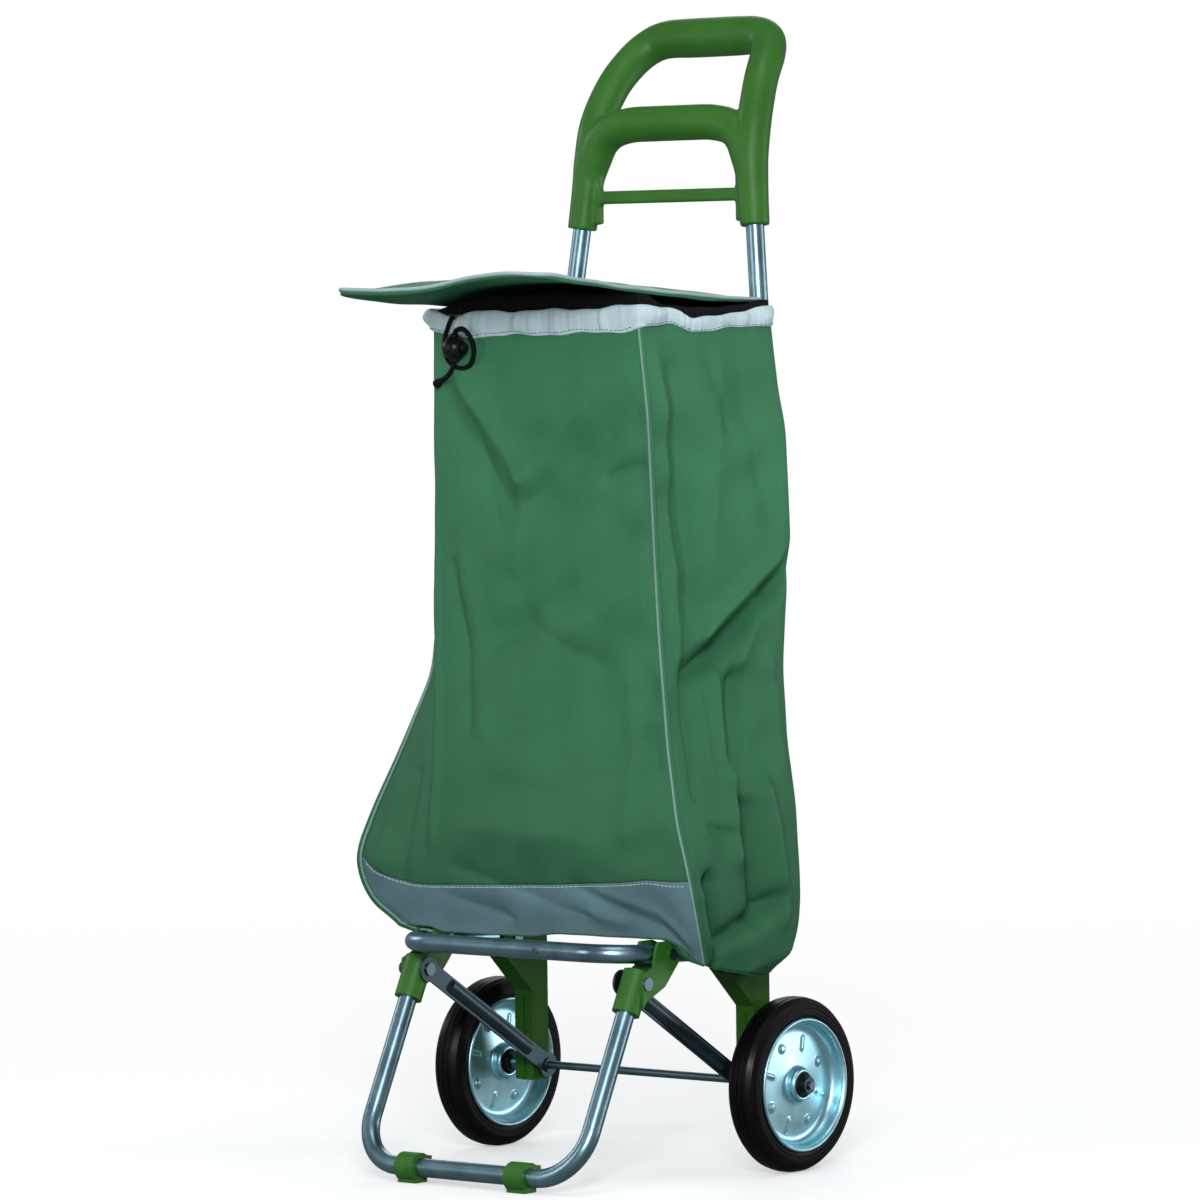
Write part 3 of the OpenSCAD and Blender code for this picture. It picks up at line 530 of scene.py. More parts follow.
class Ripples:
    """Seeded sum of waves, for the unevenness of slack cloth."""

    def __init__(self, rise, shortest, longest, count=14):
        self.waves = [(rise / math.sqrt(count) * RNG.uniform(0.6, 1.4), RNG.uniform(shortest, longest),
                       RNG.uniform(0, math.pi), RNG.uniform(0, 2 * math.pi)) for _ in range(count)]

    def __call__(self, u, height):
        total = np.zeros_like(u, float)
        for rise, length, way, phase in self.waves:
            across = u * math.cos(way) + height * math.sin(way)
            total += rise * np.sin(across * 2 * math.pi / length + phase)
        return total


BROAD = Ripples(3.2, 90, 220)
SMALL = Ripples(1.2, 30, 75)


def upright_y(height):
    """Centre of the uprights, which lean back by 8 in every 100."""
    return (height - 175) * 0.08


def back_y(height):
    """The back of the bag lies on the front of the leaning uprights."""
    return upright_y(height) - 12.0


def bend_share(points):
    """Share of the way along a line of three stations at which its middle one lies."""
    a, b, c = points
    first = np.linalg.norm(b - a, axis=-1)
    second = np.linalg.norm(c - b, axis=-1)
    return first / (first + second)


def polyline(points, s, soft):
    """Point at share s of a line through three stations, with its middle corner rounded."""
    a, b, c = points
    bend = bend_share(points)
    past = s - bend
    after = (past + np.sqrt(past ** 2 + soft ** 2)) / 2 / (1 - bend)
    before = (-past + np.sqrt(past ** 2 + soft ** 2)) / 2 / bend
    return b + (c - b) * after[..., None] + (a - b) * before[..., None]


def rear_corner(table, height):
    x = along(table, height)[..., 0]
    return np.stack([x, back_y(height)], axis=-1)


def back_seam(table, side, height):
    point = rear_corner(table, height)
    return point - np.stack([np.full_like(height, side * BACK_SEAM), np.zeros_like(height)], axis=-1)


def hang(x, y, height):
    """How far the unsupported right corner hangs below the platform."""
    ramp = 14 + 44 * smoothstep((-80 - y) / 45)
    return (38 * smoothstep((x - 134) / ramp) ** 0.8 * smoothstep((300 - height) / 92)
            * (0.62 + 0.38 * smoothstep((y + 130) / 110)))


def front_stations(height):
    return along(FRONT_LEFT, height), along(FRONT_CREASE, height), along(FRONT_RIGHT, height)


def right_stations(height):
    return along(FRONT_RIGHT, height), rear_corner(REAR_RIGHT, height), back_seam(REAR_RIGHT, 1, height)


def left_stations(height):
    return back_seam(REAR_LEFT, -1, height), rear_corner(REAR_LEFT, height), along(FRONT_LEFT, height)


# Rounding of a line's middle corner, as a share of the line
FRONT_ROUNDING = 0.012
SIDE_ROUNDING = 0.045


def front_line(s, height):
    return polyline(front_stations(height), s, FRONT_ROUNDING)


def right_line(s, height):
    return polyline(right_stations(height), s, SIDE_ROUNDING)


def back_line(s, height):
    start = back_seam(REAR_RIGHT, 1, height)
    end = back_seam(REAR_LEFT, -1, height)
    return start + (end - start) * s[..., None]


def left_line(s, height):
    return polyline(left_stations(height), s, SIDE_ROUNDING)


def outward(line, s, height):
    step = 0.004
    way = line(s + step, height) - line(s - step, height)
    way /= np.linalg.norm(way, axis=-1)[..., None]
    return np.stack([way[..., 1], -way[..., 0]], axis=-1)


def panel_points(line, stations, folds, s, height, bulge=0.0, side_scale=None, calm=1.0, crease=0.0):
    """Points of one side of the bag: its line, its bulge, its folds, and the hang of the corner."""
    flat = line(s, height)
    normal = outward(line, s, height)
    if side_scale is None:
        u = flat[..., 0]
    else:
        u = s * side_scale
    slack = smoothstep(s / 0.05) * smoothstep((1 - s) / 0.05)
    upper = smoothstep((BAG_TOP - 18 - height) / 45)
    bend = bend_share(stations(height)) if stations else -1
    even = slack * upper * (1 - 0.92 * np.exp(-((s - bend) / 0.14) ** 2))
    lift = fold_height(folds, u, height) * slack * upper * (1 - 0.92 * np.exp(-((s - bend) / 0.09) ** 2))
    lift += (BROAD(u + 40, height) + SMALL(u, height)) * even * calm
    lift += bulge * np.sin(math.pi * s) * upper
    if crease:
        stretch = smoothstep((height - 262) / 40) * smoothstep((600 - height) / 120) * slack
        lift -= crease * np.exp(-((s - bend + 0.030) / 0.014) ** 2) * stretch
        lift += 0.7 * crease * np.exp(-((s - bend - 0.004) / 0.012) ** 2) * stretch
    flat = flat + normal * lift[..., None]
    z = height - hang(flat[..., 0], flat[..., 1], height)
    return np.dstack([flat, z])


def front_bottom(s):
    """Height of the front's lower edge, which dips between the platform's arms."""
    x = front_line(s, np.full_like(s, BAG_BOTTOM))[..., 0]
    dip = 4.0 * smoothstep((x + 118) / 14) * smoothstep((28 - x) / 45)
    return BAG_BOTTOM - dip


def grey_edge(s):
    """Height of the seam between the green front and its grey foot."""
    x = front_line(s, np.full_like(s, 250.0))[..., 0]
    rows = [(-190, 271), (-170, 257), (-140, 247), (-115, 245), (30, 251), (120, 257), (190, 268)]
    return along(rows, x)[..., 0]


def rows_between(low, high, count):
    share = np.linspace(0, 1, count)[:, None]
    return low + (high - low) * share


def bag_sheet(name, points, slot, *nodes):
    rows, cols = points.shape[:2]
    obj = piece(name, points, grid_faces(rows, cols), "frame", slot, *nodes)
    thicken(obj, CLOTH_THICKNESS)
    fold_up(obj)
    return obj


def fold_up(obj):
    """Gives a piece of the bag its own copy of its mesh."""
    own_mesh(obj)


# Height of the hem's upper edge: against x along the front, against y along the right side
HEM_TOP = {
    "front": [(-130, 739), (-116, 740), (-101, 736.5), (-86, 732.5), (-66, 737.5), (40, 738), (118, 741)],
    "right": [(-131, 741), (-97, 740), (-84, 736), (-69, 728), (-58, 729), (-30, 733), (40, 740)],
    "rear": 738}

STITCH_PITCH = 4.2
STITCH_LENGTH = 2.7
THREAD_RADIUS = 0.38


def stitches(name, line, slot, lift):
    """A row of thread stitches along a line of points, each a short rounded thread just above the cloth."""
    steps = np.concatenate([[0], np.cumsum(np.linalg.norm(np.diff(line, axis=0), axis=1))])
    shapes = []
    for start in np.arange(2, steps[-1] - 4, STITCH_PITCH):
        at = start + RNG.uniform(-0.25, 0.25) + np.array([0, 0.15, 0.5, 0.85, 1]) * STITCH_LENGTH
        path = np.column_stack([np.interp(at, steps, line[:, k]) for k in range(3)])
        path += np.array([[-0.2], [0.75], [1], [0.75], [-0.2]]) * np.array(lift)
        shapes.append(tube_shape(path, THREAD_RADIUS, 6))
    obj = piece(name, *join_shapes(*shapes), "frame", slot)
    fold_up(obj)


# Distance along a side that its table of folds spans; the left side's table counts down from 0
SIDE_SPAN = 160


def bag_panels():
    cols = 150
    s = np.linspace(0, 1, cols)[None, :]
    top = np.full_like(s, BAG_TOP)
    edge = grey_edge(s)

    def heights(low, high, count):
        return np.broadcast_to(rows_between(low, high, count), (count, cols))

    grid = np.broadcast_to
    upper = heights(edge, top, 230)
    lower = heights(front_bottom(s), edge, 40)
    front = panel_points(front_line, front_stations, FRONT_FOLDS, grid(s, upper.shape), upper, bulge=3,
                         crease=5.2)
    foot = panel_points(front_line, front_stations, FRONT_FOLDS, grid(s, lower.shape), lower, bulge=3)
    bag_sheet("bag_front", front, "green_fabric", "bag_front_panel")
    bag_sheet("bag_grey_foot", foot, "grey_fabric", "bag_lower_panel")
    stitches("grey_foot_stitches", foot[-3][2:-2], "trim_fabric", (0, -0.55, 0.1))

    sides = heights(np.full_like(s, BAG_BOTTOM), top, 260)
    rim_y = right_line(s, top)[..., 1]
    under_hem = np.minimum(top, np.interp(rim_y, *zip(*HEM_TOP["right"])) - 5)
    dipped = heights(np.full_like(s, BAG_BOTTOM), under_hem, 260)
    right = panel_points(right_line, right_stations, SIDE_FOLDS, grid(s, dipped.shape), dipped,
                         side_scale=SIDE_SPAN)
    left = panel_points(left_line, left_stations, LEFT_FOLDS, grid(s, sides.shape), sides,
                        side_scale=-SIDE_SPAN)
    back = panel_points(back_line, None, BACK_FOLDS, grid(s, sides.shape), sides, calm=0.3)
    bag_sheet("bag_right_side", right, "green_fabric", "bag_side_right")
    bag_sheet("bag_left_side", left, "green_fabric", "bag_side_left")
    bag_sheet("bag_back", back, "green_fabric", "bag_back_panel")
    bag_base([foot[0], right[0], back[0], left[0]])


def bag_base(edges):
    """Floor of the bag, from the lower edges of the four sides to its middle."""
    ring = np.vstack([e[:-1] for e in edges])
    middle = np.array([0, -72, BAG_BOTTOM + 1.0])
    shares = np.linspace(0, 1, 26) ** 0.8
    rows = []
    for share in shares[:-1]:
        row = ring + (middle - ring) * share
        level = BAG_BOTTOM + 0.5 + 1.5 * np.sin(row[:, 0] / 30) * np.sin(row[:, 1] / 26)
        flat = smoothstep(share / 0.2) * smoothstep((150 - row[:, 0]) / 30)
        row[:, 2] = row[:, 2] + (level - row[:, 2]) * flat
        rows.append(row)
    count = len(ring)
    points = np.vstack(rows + [middle])
    faces = [tuple(reversed(face)) for face in grid_faces(len(rows), count, closed=True)]
    last = (len(rows) - 1) * count
    faces += [(last + (c + 1) % count, last + c, len(points) - 1) for c in range(count)]
    obj = piece("bag_base", points, faces, "frame", "green_fabric", "bag_base_panel")
    thicken(obj, CLOTH_THICKNESS, 1.0)
    fold_up(obj)


# The left piping goes on under the platform's front bar
PIPING_TAIL = [(-118, -139.5, 203.5), (-136, -137, 204.5)]


def piping(name, node, table, side, tail=()):
    """Piping down a front seam, and the rolled edge of the side panel that stands out behind it."""
    heights = np.linspace(BAG_BOTTOM + 1, 722, 200)
    xy = along(table, heights)
    z = heights - hang(xy[:, 0], xy[:, 1], heights)
    path = np.column_stack([xy[:, 0] + side * 0.5, xy[:, 1] - 0.7, z])
    if tail:
        path = np.vstack([curve_through(tail + [path[0]], 8)[:-1], path])
    walked = np.arange(len(path)) * 2.5
    stitched = 1.15 + 0.07 * np.sin(walked * 1.3)
    obj = piece(name, *tube_shape(path, stitched, 12), "frame", "trim_fabric", node, look="piping_fabric")
    fold_up(obj)
    thick = 1.5 + 1.9 * smoothstep((430 - path[:, 2]) / 150) * (side < 0)
    roll = path + np.column_stack([side * thick, thick, -0.2 * thick])
    rolled = piece(name + "_roll", *tube_shape(roll, thick, 16), "frame", "green_fabric")
    fold_up(rolled)


MOUTH_Z = 731.0
MOUTH_POINTS = 960
# Where the hem dips on the right side, is pinched by the cord and flares at the left corner
HEM_DIP_Y = -72
CORD_PINCH_X = -84
FLARE_AT = (-121, -118)


def mouth_ring():
    """Line functions, shares and distances round the bag's mouth."""
    lines = (front_line, right_line, back_line, left_line)
    share = np.linspace(0, 1, MOUTH_POINTS // 4, endpoint=False)
    xy = np.vstack([line(share, np.full_like(share, MOUTH_Z)) for line in lines])
    steps = np.linalg.norm(np.diff(xy, axis=0, append=xy[:1]), axis=1)
    return lines, share, xy, np.concatenate([[0], np.cumsum(steps)[:-1]])


def ring_soften(values, taps):
    """Values round a ring, each averaged with its neighbours."""
    kernel = np.hanning(taps + 2)[1:-1]
    padded = np.concatenate([values[-taps // 2 + 1:], values, values[:taps // 2]])
    soft = [np.convolve(column, kernel / kernel.sum(), "valid") for column in np.atleast_2d(padded.T)]
    return np.array(soft).T if values.ndim > 1 else soft[0]


def band(name, node, slot, profile, top, bottom, ripple, pucker, flare=0):
    """A strip of cloth round the mouth, and its rows of points. profile is its section as (share up, out)."""
    lines, share, at, walked = mouth_ring()
    x, y = at.T
    quarter = len(share)
    is_right = (np.arange(len(x)) >= quarter) & (np.arange(len(x)) < 2 * quarter) & (y < 38)
    rear = smoothstep((y + 60) / 60) * ~is_right

    def heights(edge):
        level = np.where(is_right, np.interp(y, *zip(*edge["right"])), np.interp(x, *zip(*edge["front"])))
        return ring_soften(level * (1 - rear) + edge["rear"] * rear, 27)

    high, low = heights(top), heights(bottom)
    gather = pucker * (np.sin(walked * 0.75 + 3 * np.sin(walked / 23)) + 0.6 * np.sin(walked * 0.31))
    by_dip = np.exp(-((y - HEM_DIP_Y) / 20) ** 2) * is_right
    by_cord = np.exp(-((x - CORD_PINCH_X) / 15) ** 2) * (y < -60)
    gather = gather * (1 + 4 * by_dip + 3 * by_cord)
    slump = np.maximum(ripple(walked, np.zeros_like(walked)) + gather, -0.8)
    flared = flare * np.exp(-((x - FLARE_AT[0]) / 9) ** 2 - ((y - FLARE_AT[1]) / 16) ** 2)
    rows = []
    for up, out in profile:
        z = low + (high - low) * up + np.sin(walked / 13 + 3 * up)
        z = z + 0.5 * np.sin(walked / 5.3 + 5 * up)
        level = [z[k * quarter:(k + 1) * quarter] for k in range(4)]
        xy = np.vstack([line(share, h) for line, h in zip(lines, level)])
        normal = np.vstack([outward(line, share, h) for line, h in zip(lines, level)])
        normal = ring_soften(normal, 11)
        normal /= np.linalg.norm(normal, axis=1)[:, None]
        reach = out + slump * math.sin(math.pi * min(1, 0.1 + 0.8 * up))
        reach = reach + flared * math.sin(math.pi * up * 0.8)
        rows.append(np.column_stack([xy + normal * reach[:, None], z]))
    count = len(x)
    rows.append(rows[0])
    obj = piece(name, np.vstack(rows), grid_faces(len(rows), count, closed=True), "frame", slot, node)
    fold_up(obj)
    return rows


def hem_and_collar():
    hem_section = [(0.0, 0.1), (0.0, 1.3), (0.05, 1.9), (0.12, 2.0), (0.16, 1.6), (0.22, 2.1), (0.40, 3.0),
                   (0.60, 3.4), (0.80, 3.1), (0.93, 2.5), (1.0, 1.4), (1.0, 0.2), (0.93, -0.9), (0.6, -1.0),
                   (0.2, -0.9)]
    hem_bottom = {"front": [(-130, 722), (-71, 715.6), (93, 718), (118, 722)],
                  "right": [(-131, 722), (-91, 724), (-69, 718), (-42, 719), (45, 724)],
                  "rear": 718}
    seam = band("bag_hem_band", "bag_hem", "trim_fabric", hem_section, HEM_TOP, hem_bottom,
                Ripples(3.0, 13, 60, 24), 0.3, 8)[3]
    quarter = len(seam) // 4
    stitches("hem_stitches_front", seam[6:quarter - 4], "grey_fabric", (0, -0.5, 0))
    stitches("hem_stitches_right", seam[quarter + 6:2 * quarter - 30], "grey_fabric", (0.5, 0, 0))
    collar_section = [(0.0, -1.8), (0.5, -1.6), (0.8, -0.9), (0.94, -0.8), (1.0, -2.0), (0.94, -3.2),
                      (0.5, -3.6), (0.0, -3.4)]
    collar_top = {"front": [(-118, 737), (-92, 746), (-60, 751), (30, 753), (112, 753)],
                  "right": [(-131, 753), (-118, 751), (-100, 742), (-60, 737), (-10, 741), (45, 745)],
                  "rear": 743}
    collar_bottom = {"front": [(-118, 716), (118, 716)], "right": [(-131, 716), (45, 716)], "rear": 716}
    band("bag_collar_band", "bag_collar", "black_fabric", collar_section, collar_top, collar_bottom,
         Ripples(0.8, 18, 60), 0.25)


def tube_loops():
    """Loops of webbing that hold the bag's back to the uprights."""
    shapes = []
    for side in (-1, 1):
        for low in (330, 650):
            heights = np.linspace(low, low + 40, 9)
            rows = []
            for h in heights:
                x = side * (125 - max(0, h - 570) * 0.1164)
                y = upright_y(h)
                a = np.linspace(0, 2 * math.pi, 40, endpoint=False)
                r = 9.0 + 0.35 * np.sin(3 * a + h / 5)
                rows.append(np.column_stack([x + r * np.cos(a), y + r * np.sin(a), np.full_like(a, h)]))
            shapes.append((np.vstack(rows), grid_faces(len(rows), 40, closed=True)))
    obj = piece("bag_loops", *join_shapes(*shapes), "frame", "green_fabric", "bag_tube_loops")
    thicken(obj, 1.0, 1.0)


# ---- lid ----

LID_REAR = 33
LID_FRONT = -260
LID_HALF = 116
LID_CORNER = 22
LID_THICKNESS = 2.4
BINDING_RADIUS = 1.6
BINDING_LIFT = 2.1
# Height of the lid's underside at every y of LID_Y (rows) and x of LID_X (columns)
LID_Y = [-260, -226, -174, -118, -40, 33]
LID_X = [-116, -62, -11, 44, 88, 116]
LID_Z = [
    [757, 753.5, 754, 764, 767.5, 765], [750, 760, 762, 764.5, 766, 763],
    [745, 762, 763.5, 762.5, 761, 755.5], [743, 757, 760, 760, 757, 751],
    [743.5, 750, 754, 755, 751, 744.5], [745, 746.5, 747.5, 747.5, 745.5, 742]]


def lid_height(x, y):
    """Underside of the lid: smooth across its width and its length."""
    def soft(table_x, table_z, at):
        rows = np.column_stack([table_x, table_z])
        return along(rows, at, 16)[..., 0]
    across = np.stack([soft(LID_X, row, x) for row in LID_Z])
    nodes = np.array(LID_Y)
    taps = np.linspace(-14, 14, 7)
    total = np.zeros_like(x, float)
    for tap in taps:
        at = np.clip(y + tap, nodes[0], nodes[-1])
        k = np.clip(np.searchsorted(nodes, at, side="right") - 1, 0, len(nodes) - 2)
        share = (at - nodes[k]) / (nodes[k + 1] - nodes[k])
        low = np.take_along_axis(across, k[None], 0)[0]
        high = np.take_along_axis(across, k[None] + 1, 0)[0]
        total += low + (high - low) * share
    return total / len(taps)


def lid_half_width(y):
    into = np.clip(LID_FRONT + LID_CORNER - y, 0, LID_CORNER)
    return LID_HALF - LID_CORNER + np.sqrt(LID_CORNER ** 2 - into ** 2)


def lid():
    cols = 90
    front_rows = LID_FRONT + LID_CORNER * (1 - np.cos(np.linspace(0, math.pi / 2, 14)))
    y = np.concatenate([front_rows, np.linspace(LID_FRONT + LID_CORNER, LID_REAR, 90)[1:]])
    share = np.linspace(-1, 1, cols)
    x = lid_half_width(y)[:, None] * share[None, :]
    y = np.broadcast_to(y[:, None], x.shape)
    rows = len(y)
    z = lid_height(x, y)
    ripple = Ripples(0.5, 40, 110)(x, y)
    under = np.dstack([x, y, z + ripple])
    over = under + (0, 0, LID_THICKNESS)
    to_edge = np.minimum(lid_half_width(y) - np.abs(x), y - LID_FRONT)
    under[..., 2] -= 1.7 * smoothstep((6.5 - to_edge) / 2.5) * smoothstep((20 - y) / 20)
    count = rows * cols
    faces = [tuple(reversed(f)) for f in grid_faces(rows, cols)] + grid_faces(rows, cols, start=count)
    edge = (list(range(cols)) + [r * cols + cols - 1 for r in range(1, rows)]
            + [(rows - 1) * cols + c for c in range(cols - 2, -1, -1)]
            + [r * cols for r in range(rows - 2, 0, -1)])
    faces += [(a, b, count + b, count + a) for a, b in zip(edge, edge[1:] + edge[:1])]
    obj = piece("lid_flap", np.vstack([under.reshape(-1, 3), over.reshape(-1, 3)]), faces, "lid",
                "green_fabric", "lid_panel")

    corner_x, corner_y = LID_HALF - LID_CORNER, LID_FRONT + LID_CORNER
    side_y = np.linspace(LID_REAR - 2, corner_y, 60)
    arc = [(corner_x + LID_CORNER * math.cos(a), corner_y - LID_CORNER * math.sin(a))
           for a in np.linspace(0, math.pi / 2, 12)]
    right = [(LID_HALF, v) for v in side_y[:-1]] + arc
    front = [(v, LID_FRONT) for v in np.linspace(corner_x, 0, 20)[1:]]
    half = np.array(right + front)
    plan = np.vstack([half, (half * (-1, 1))[::-1][1:]])
    path = np.column_stack([plan, lid_height(plan[:, 0], plan[:, 1]) + BINDING_LIFT])
    path[:, 2] += Ripples(0.3, 20, 60)(np.arange(len(path)) * 4.0, np.zeros(len(path)))
    # The binding takes the darker copy of the trim: painted shade.
    piece("lid_edge_binding", *tube_shape(path, BINDING_RADIUS, 12), "lid", "trim_fabric", "lid_binding",
          look="lid_trim_painted_shade")


def lid_hinge():
    """Strip of cloth from the bag's rear edge up to the lid, and a little way under it."""
    x = np.linspace(-112, 112, 70)
    rows = []
    for y, z in ((33.2, 728), (33.4, 731), (33.5, 734), (33.5, 737), (33.4, 740), (33.0, 742.6)):
        rows.append(np.column_stack([x, np.full_like(x, y), z + 0.3 * np.sin(x / 9)]))
    for y in (31.4, 29, 26, 22, 18):
        rows.append(np.column_stack([x, np.full_like(x, y), lid_height(x, np.full_like(x, y)) - 0.7]))
    obj = piece("lid_hinge_strip", np.vstack(rows), grid_faces(len(rows), len(x)), "frame", "green_fabric")
    thicken(obj, CLOTH_THICKNESS)
    obj.parent = None
    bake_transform(obj)


# ---- handle ----

# Each row: x, y, z and the radius there
ARCH_HALF = [(97.3, 50.6, 808, 12.9), (95.0, 52.2, 828, 13.2), (92.6, 53.9, 848, 13.9),
             (90.8, 55.8, 869, 14.6), (88.8, 63, 901, 15), (83, 79.5, 934, 15), (75.5, 99, 957, 15.4),
             (65, 111.5, 969.5, 16), (50, 116, 974.5, 16.8), (25, 117, 975, 17.4)]
GRIP_HALF = [(93.4, 52.5, 833, 8), (90.5, 54, 850, 12), (86, 55.5, 868, 14.6), (79, 57, 884, 15.4),
             (66, 58, 894, 15.6), (45, 58, 898.5, 15.6), (20, 58, 899, 15.6)]


def both_halves(half, middle):
    return half + [middle] + [(-x, y, z, r) for x, y, z, r in reversed(half)]


def box_shape(low, high):
    (x0, y0, z0), (x1, y1, z1) = low, high
    points = [(x, y, z) for x in (x0, x1) for y in (y0, y1) for z in (z0, z1)]
    faces = [(0, 1, 3, 2), (4, 6, 7, 5), (0, 4, 5, 1), (2, 3, 7, 6), (0, 2, 6, 4), (1, 5, 7, 3)]
    return points, faces


def handle():
    """The handle's tubes, crossbar and webs, fused and blended as one moulding."""
    arch = curve_through(both_halves(ARCH_HALF, (0, 117, 975, 17.5)), 8)
    grip = curve_through(both_halves(GRIP_HALF, (0, 58, 899, 15.6)), 8)
    shapes = [tube_shape(arch[:, :3], arch[:, 3], 32), tube_shape(grip[:, :3], grip[:, 3], 32)]
    for side in (-1, 1):
        web_x = sorted((side * 76.5, side * 92))
        shapes.append(box_shape((web_x[0], 48.8, 812), (web_x[1], 56.2, 880)))
    bar_y = upright_y(835.6)
    shapes.append(box_shape((-92, bar_y - 3.2, 829.8), (92, bar_y + 3.2, 841.4)))
    obj = piece("handle_moulding", *join_shapes(*shapes), "frame", "green_plastic", "handle_grip")
    remesh = obj.modifiers.new("fuse", "REMESH")
    remesh.mode = "VOXEL"
    remesh.voxel_size = 1.5 * MM
    remesh.use_smooth_shade = True
    relax = obj.modifiers.new("soften", "SMOOTH")
    relax.factor = 0.5
    relax.iterations = 6
    apply_modifiers(obj)


def apply_modifiers(obj):
    graph = bpy.context.evaluated_depsgraph_get()
    mesh = bpy.data.meshes.new_from_object(obj.evaluated_get(graph))
    obj.modifiers.clear()
    obj.data = mesh
    mesh.polygons.foreach_set("use_smooth", [True] * len(mesh.polygons))


# ---- wheels ----

# Four ribs and four rivet heads are pressed into each dish, at this radius
PRESSED_AT = 36
RIB_TURN = 17
RIVET_TURN = 62
RIM_SIDES = 192


def rim(side_name, side):
    """Two pressed dishes back to back, with ribs and rivet heads pressed in round the hub."""
    shapes = []
    for out in (-1, 1):
        hub = [(0, 14.2), (9, 14.2), (12.6, 13.6), (13.4, 12.4), (13.2, 10.8), (12.4, 10.6), (12.4, 12.0),
               (12.0, 13.0)]
        dish = [(10.0, 14.6), (6.4, 15.2), (5.2, 17), (4.6, 21), (4.0, 26), (3.6, 30), (3.2, 34), (2.8, 38),
                (2.4, 42), (2.2, 45), (2.6, 47.5), (4.2, 50), (7, 51.6), (10, 52.4), (13.4, 53),
                (15.2, 54.2), (16.0, 55.6), (15.2, 57), (13.6, 57.2)]
        smooth_dish = curve_through([(x, r, 0) for x, r in dish], 4)[:, :2]
        shapes.append(turned_disc(smooth_dish, out))
        shapes.append(turned_disc(np.array(hub), out))
    points, faces = join_shapes(*shapes)
    points = points * (side, 1, 1) + (side * WHEEL_X, 0, AXLE_Z)
    if side < 0:
        faces = [tuple(reversed(f)) for f in faces]
    piece(f"rim_{side_name}", points, faces, f"wheel_{side_name}", "zinc_steel",
          f"rim_outer_{side_name}", f"rim_inner_{side_name}", f"hub_tube_{side_name}",
          f"rim_rivets_{side_name}")


def turned_disc(profile, out):
    """An (x, radius) outline turned about X, with four radial ribs and four rivet heads pressed into it."""
    angles = np.arange(RIM_SIDES) * 2 * math.pi / RIM_SIDES
    x = np.repeat(profile[:, 0][:, None], RIM_SIDES, 1)
    r = np.repeat(profile[:, 1][:, None], RIM_SIDES, 1)
    a = np.broadcast_to(angles, x.shape)
    for k in range(4):
        rib_a = math.radians(RIB_TURN) + k * math.pi / 2
        off = r * np.sin(a - rib_a)
        ahead = r * np.cos(a - rib_a)
        x = x + 1.7 * np.exp(-(off / 1.6) ** 2 - (np.maximum(0, np.abs(ahead - PRESSED_AT) - 5) / 1.6) ** 2)
        head_a = math.radians(RIVET_TURN) + k * math.pi / 2
        gap = np.hypot(r * np.sin(a - head_a), r * np.cos(a - head_a) - PRESSED_AT)
        x = x + 1.9 * smoothstep((4.2 - gap) / 1.6)
    points = np.dstack([out * x, r * np.sin(a), r * np.cos(a)]).reshape(-1, 3)
    faces = grid_faces(len(profile), RIM_SIDES, closed=True)
    if out > 0:
        faces = [tuple(reversed(f)) for f in faces]
    return points, faces


# ---- materials of the CAD nodes that stay ----

# Nodes that look a little different from the rest of their slot. The axle brackets' darker, duller plastic is
# painted shade, for the shadow under the bag.
NODE_LOOKS = {
    "axle_bracket_left": "bracket_plastic_painted_shade", "axle_bracket_right": "bracket_plastic_painted_shade",
    "strut_left": "strut_steel", "strut_right": "strut_steel", "axle_clips": "strut_steel",
}


def dress_cad_nodes():
    slots = {row["node"]: row["material_slot"] for row in frame["record"]["subparts"]}
    for name, obj in frame["nodes"].items():
        if obj.hide_render:
            continue
        obj.data.materials.clear()
        obj.data.materials.append(LOOKS[NODE_LOOKS.get(name, slots[name])])


# ---- studio ----

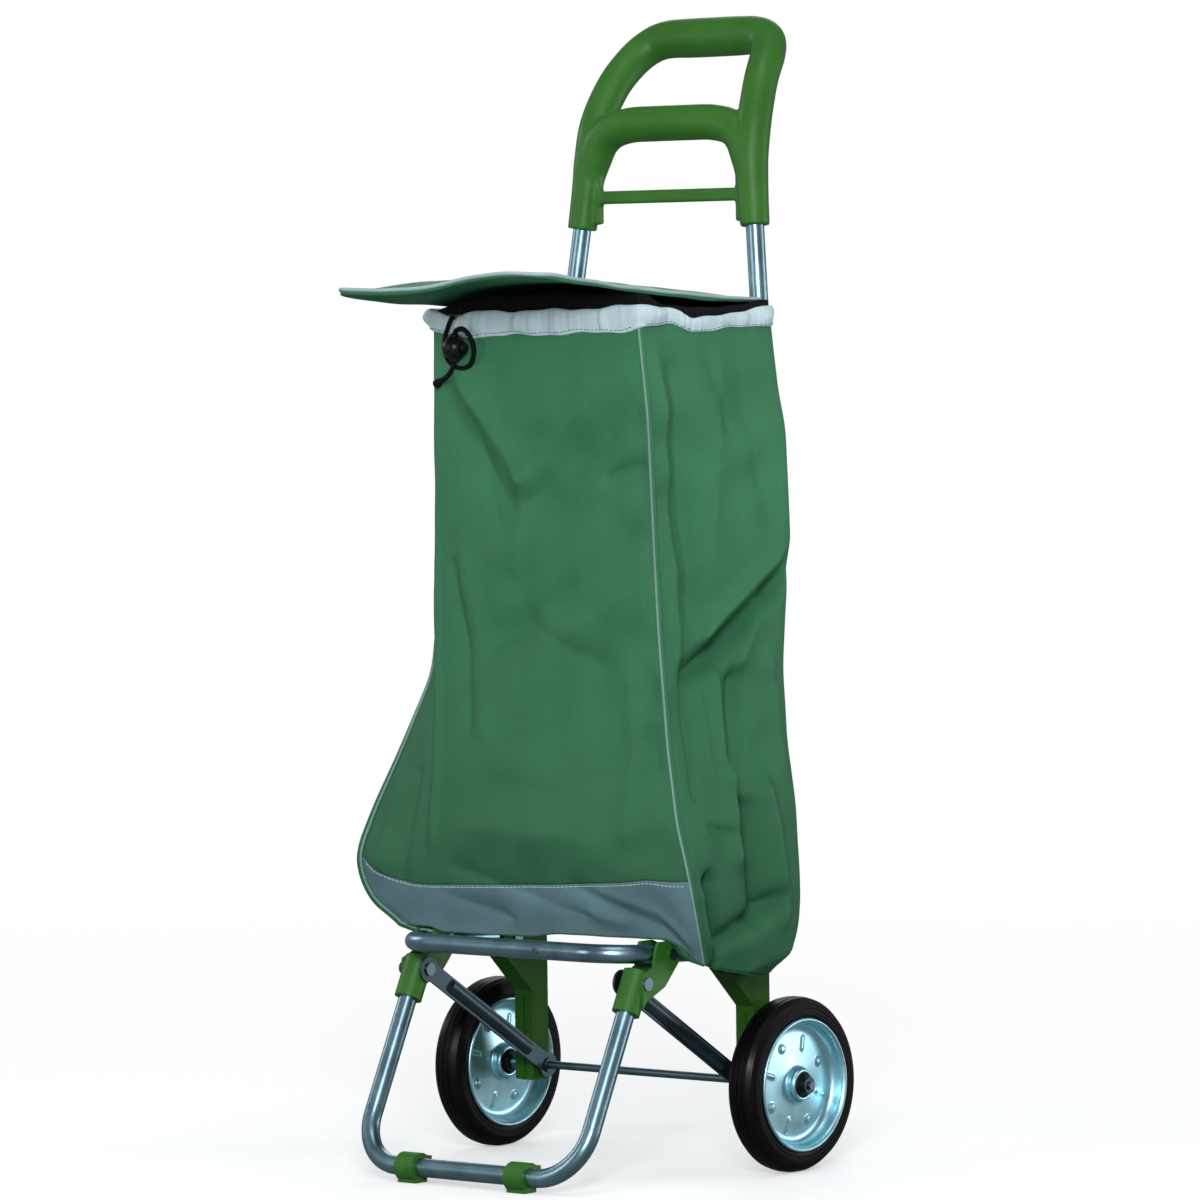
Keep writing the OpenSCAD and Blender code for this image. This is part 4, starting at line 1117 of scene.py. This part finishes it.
def area_light(name, place, aim, size, power):
    data = bpy.data.lights.new(name, "AREA")
    data.size = size
    data.energy = power
    obj = bpy.data.objects.new(name, data)
    way = np.array(aim, float) - np.array(place, float)
    obj.location = place
    obj.rotation_euler = Vector(way).to_track_quat("-Z", "Y").to_euler()
    bpy.context.scene.collection.objects.link(obj)


def studio():
    mesh = bpy.data.meshes.new("floor")
    angles = np.linspace(0, 2 * math.pi, 64, endpoint=False)
    mesh.from_pydata([(6 * math.cos(a), 6 * math.sin(a), 0) for a in angles], [], [tuple(range(64))])
    mesh.materials.append(floor_look())
    floor = bpy.data.objects.new("floor", mesh)
    bpy.context.scene.collection.objects.link(floor)

    world = bpy.data.worlds.new("studio")
    world.use_nodes = True
    tree = world.node_tree
    glow = tree.nodes["Background"]
    glow.inputs["Color"].default_value = (0.22, 0.232, 0.238, 1)
    backdrop = tree.nodes.new("ShaderNodeBackground")
    backdrop.inputs["Color"].default_value = (1.0, 1.0, 1.0, 1)
    seen = tree.nodes.new("ShaderNodeLightPath")
    mixed = tree.nodes.new("ShaderNodeMixShader")
    tree.links.new(seen.outputs["Is Camera Ray"], mixed.inputs[0])
    tree.links.new(glow.outputs[0], mixed.inputs[1])
    tree.links.new(backdrop.outputs[0], mixed.inputs[2])
    tree.links.new(mixed.outputs[0], tree.nodes["World Output"].inputs["Surface"])
    bpy.context.scene.world = world

    middle = (0, 0, 0.5)
    area_light("key", (2.45, -2.95, 1.55), (0, 0, 0.62), 0.9, 82)
    area_light("fill", (-1.3, -3.2, 1.2), middle, 1.3, 14)
    area_light("top", (0.7, -0.5, 3.2), middle, 1.2, 12)
    area_light("left", (-2.9, -0.6, 1.6), middle, 1.0, 10)
    area_light("rear", (-1.8, 2.6, 2.0), middle, 1.6, 16)
    area_light("rear_right", (3.1, 3.0, 0.7), (0, 0, 0.3), 1.5, 34)
    bpy.context.scene.view_settings.view_transform = "Standard"


add_camera()
drawstring()
bag_panels()
piping("piping_left", "bag_piping_left", FRONT_LEFT, -1, PIPING_TAIL)
piping("piping_right", "bag_piping_right", FRONT_RIGHT, 1)
hem_and_collar()
tube_loops()
lid()
lid_hinge()
handle()
rim("left", -1)
rim("right", 1)
dress_cad_nodes()
studio()
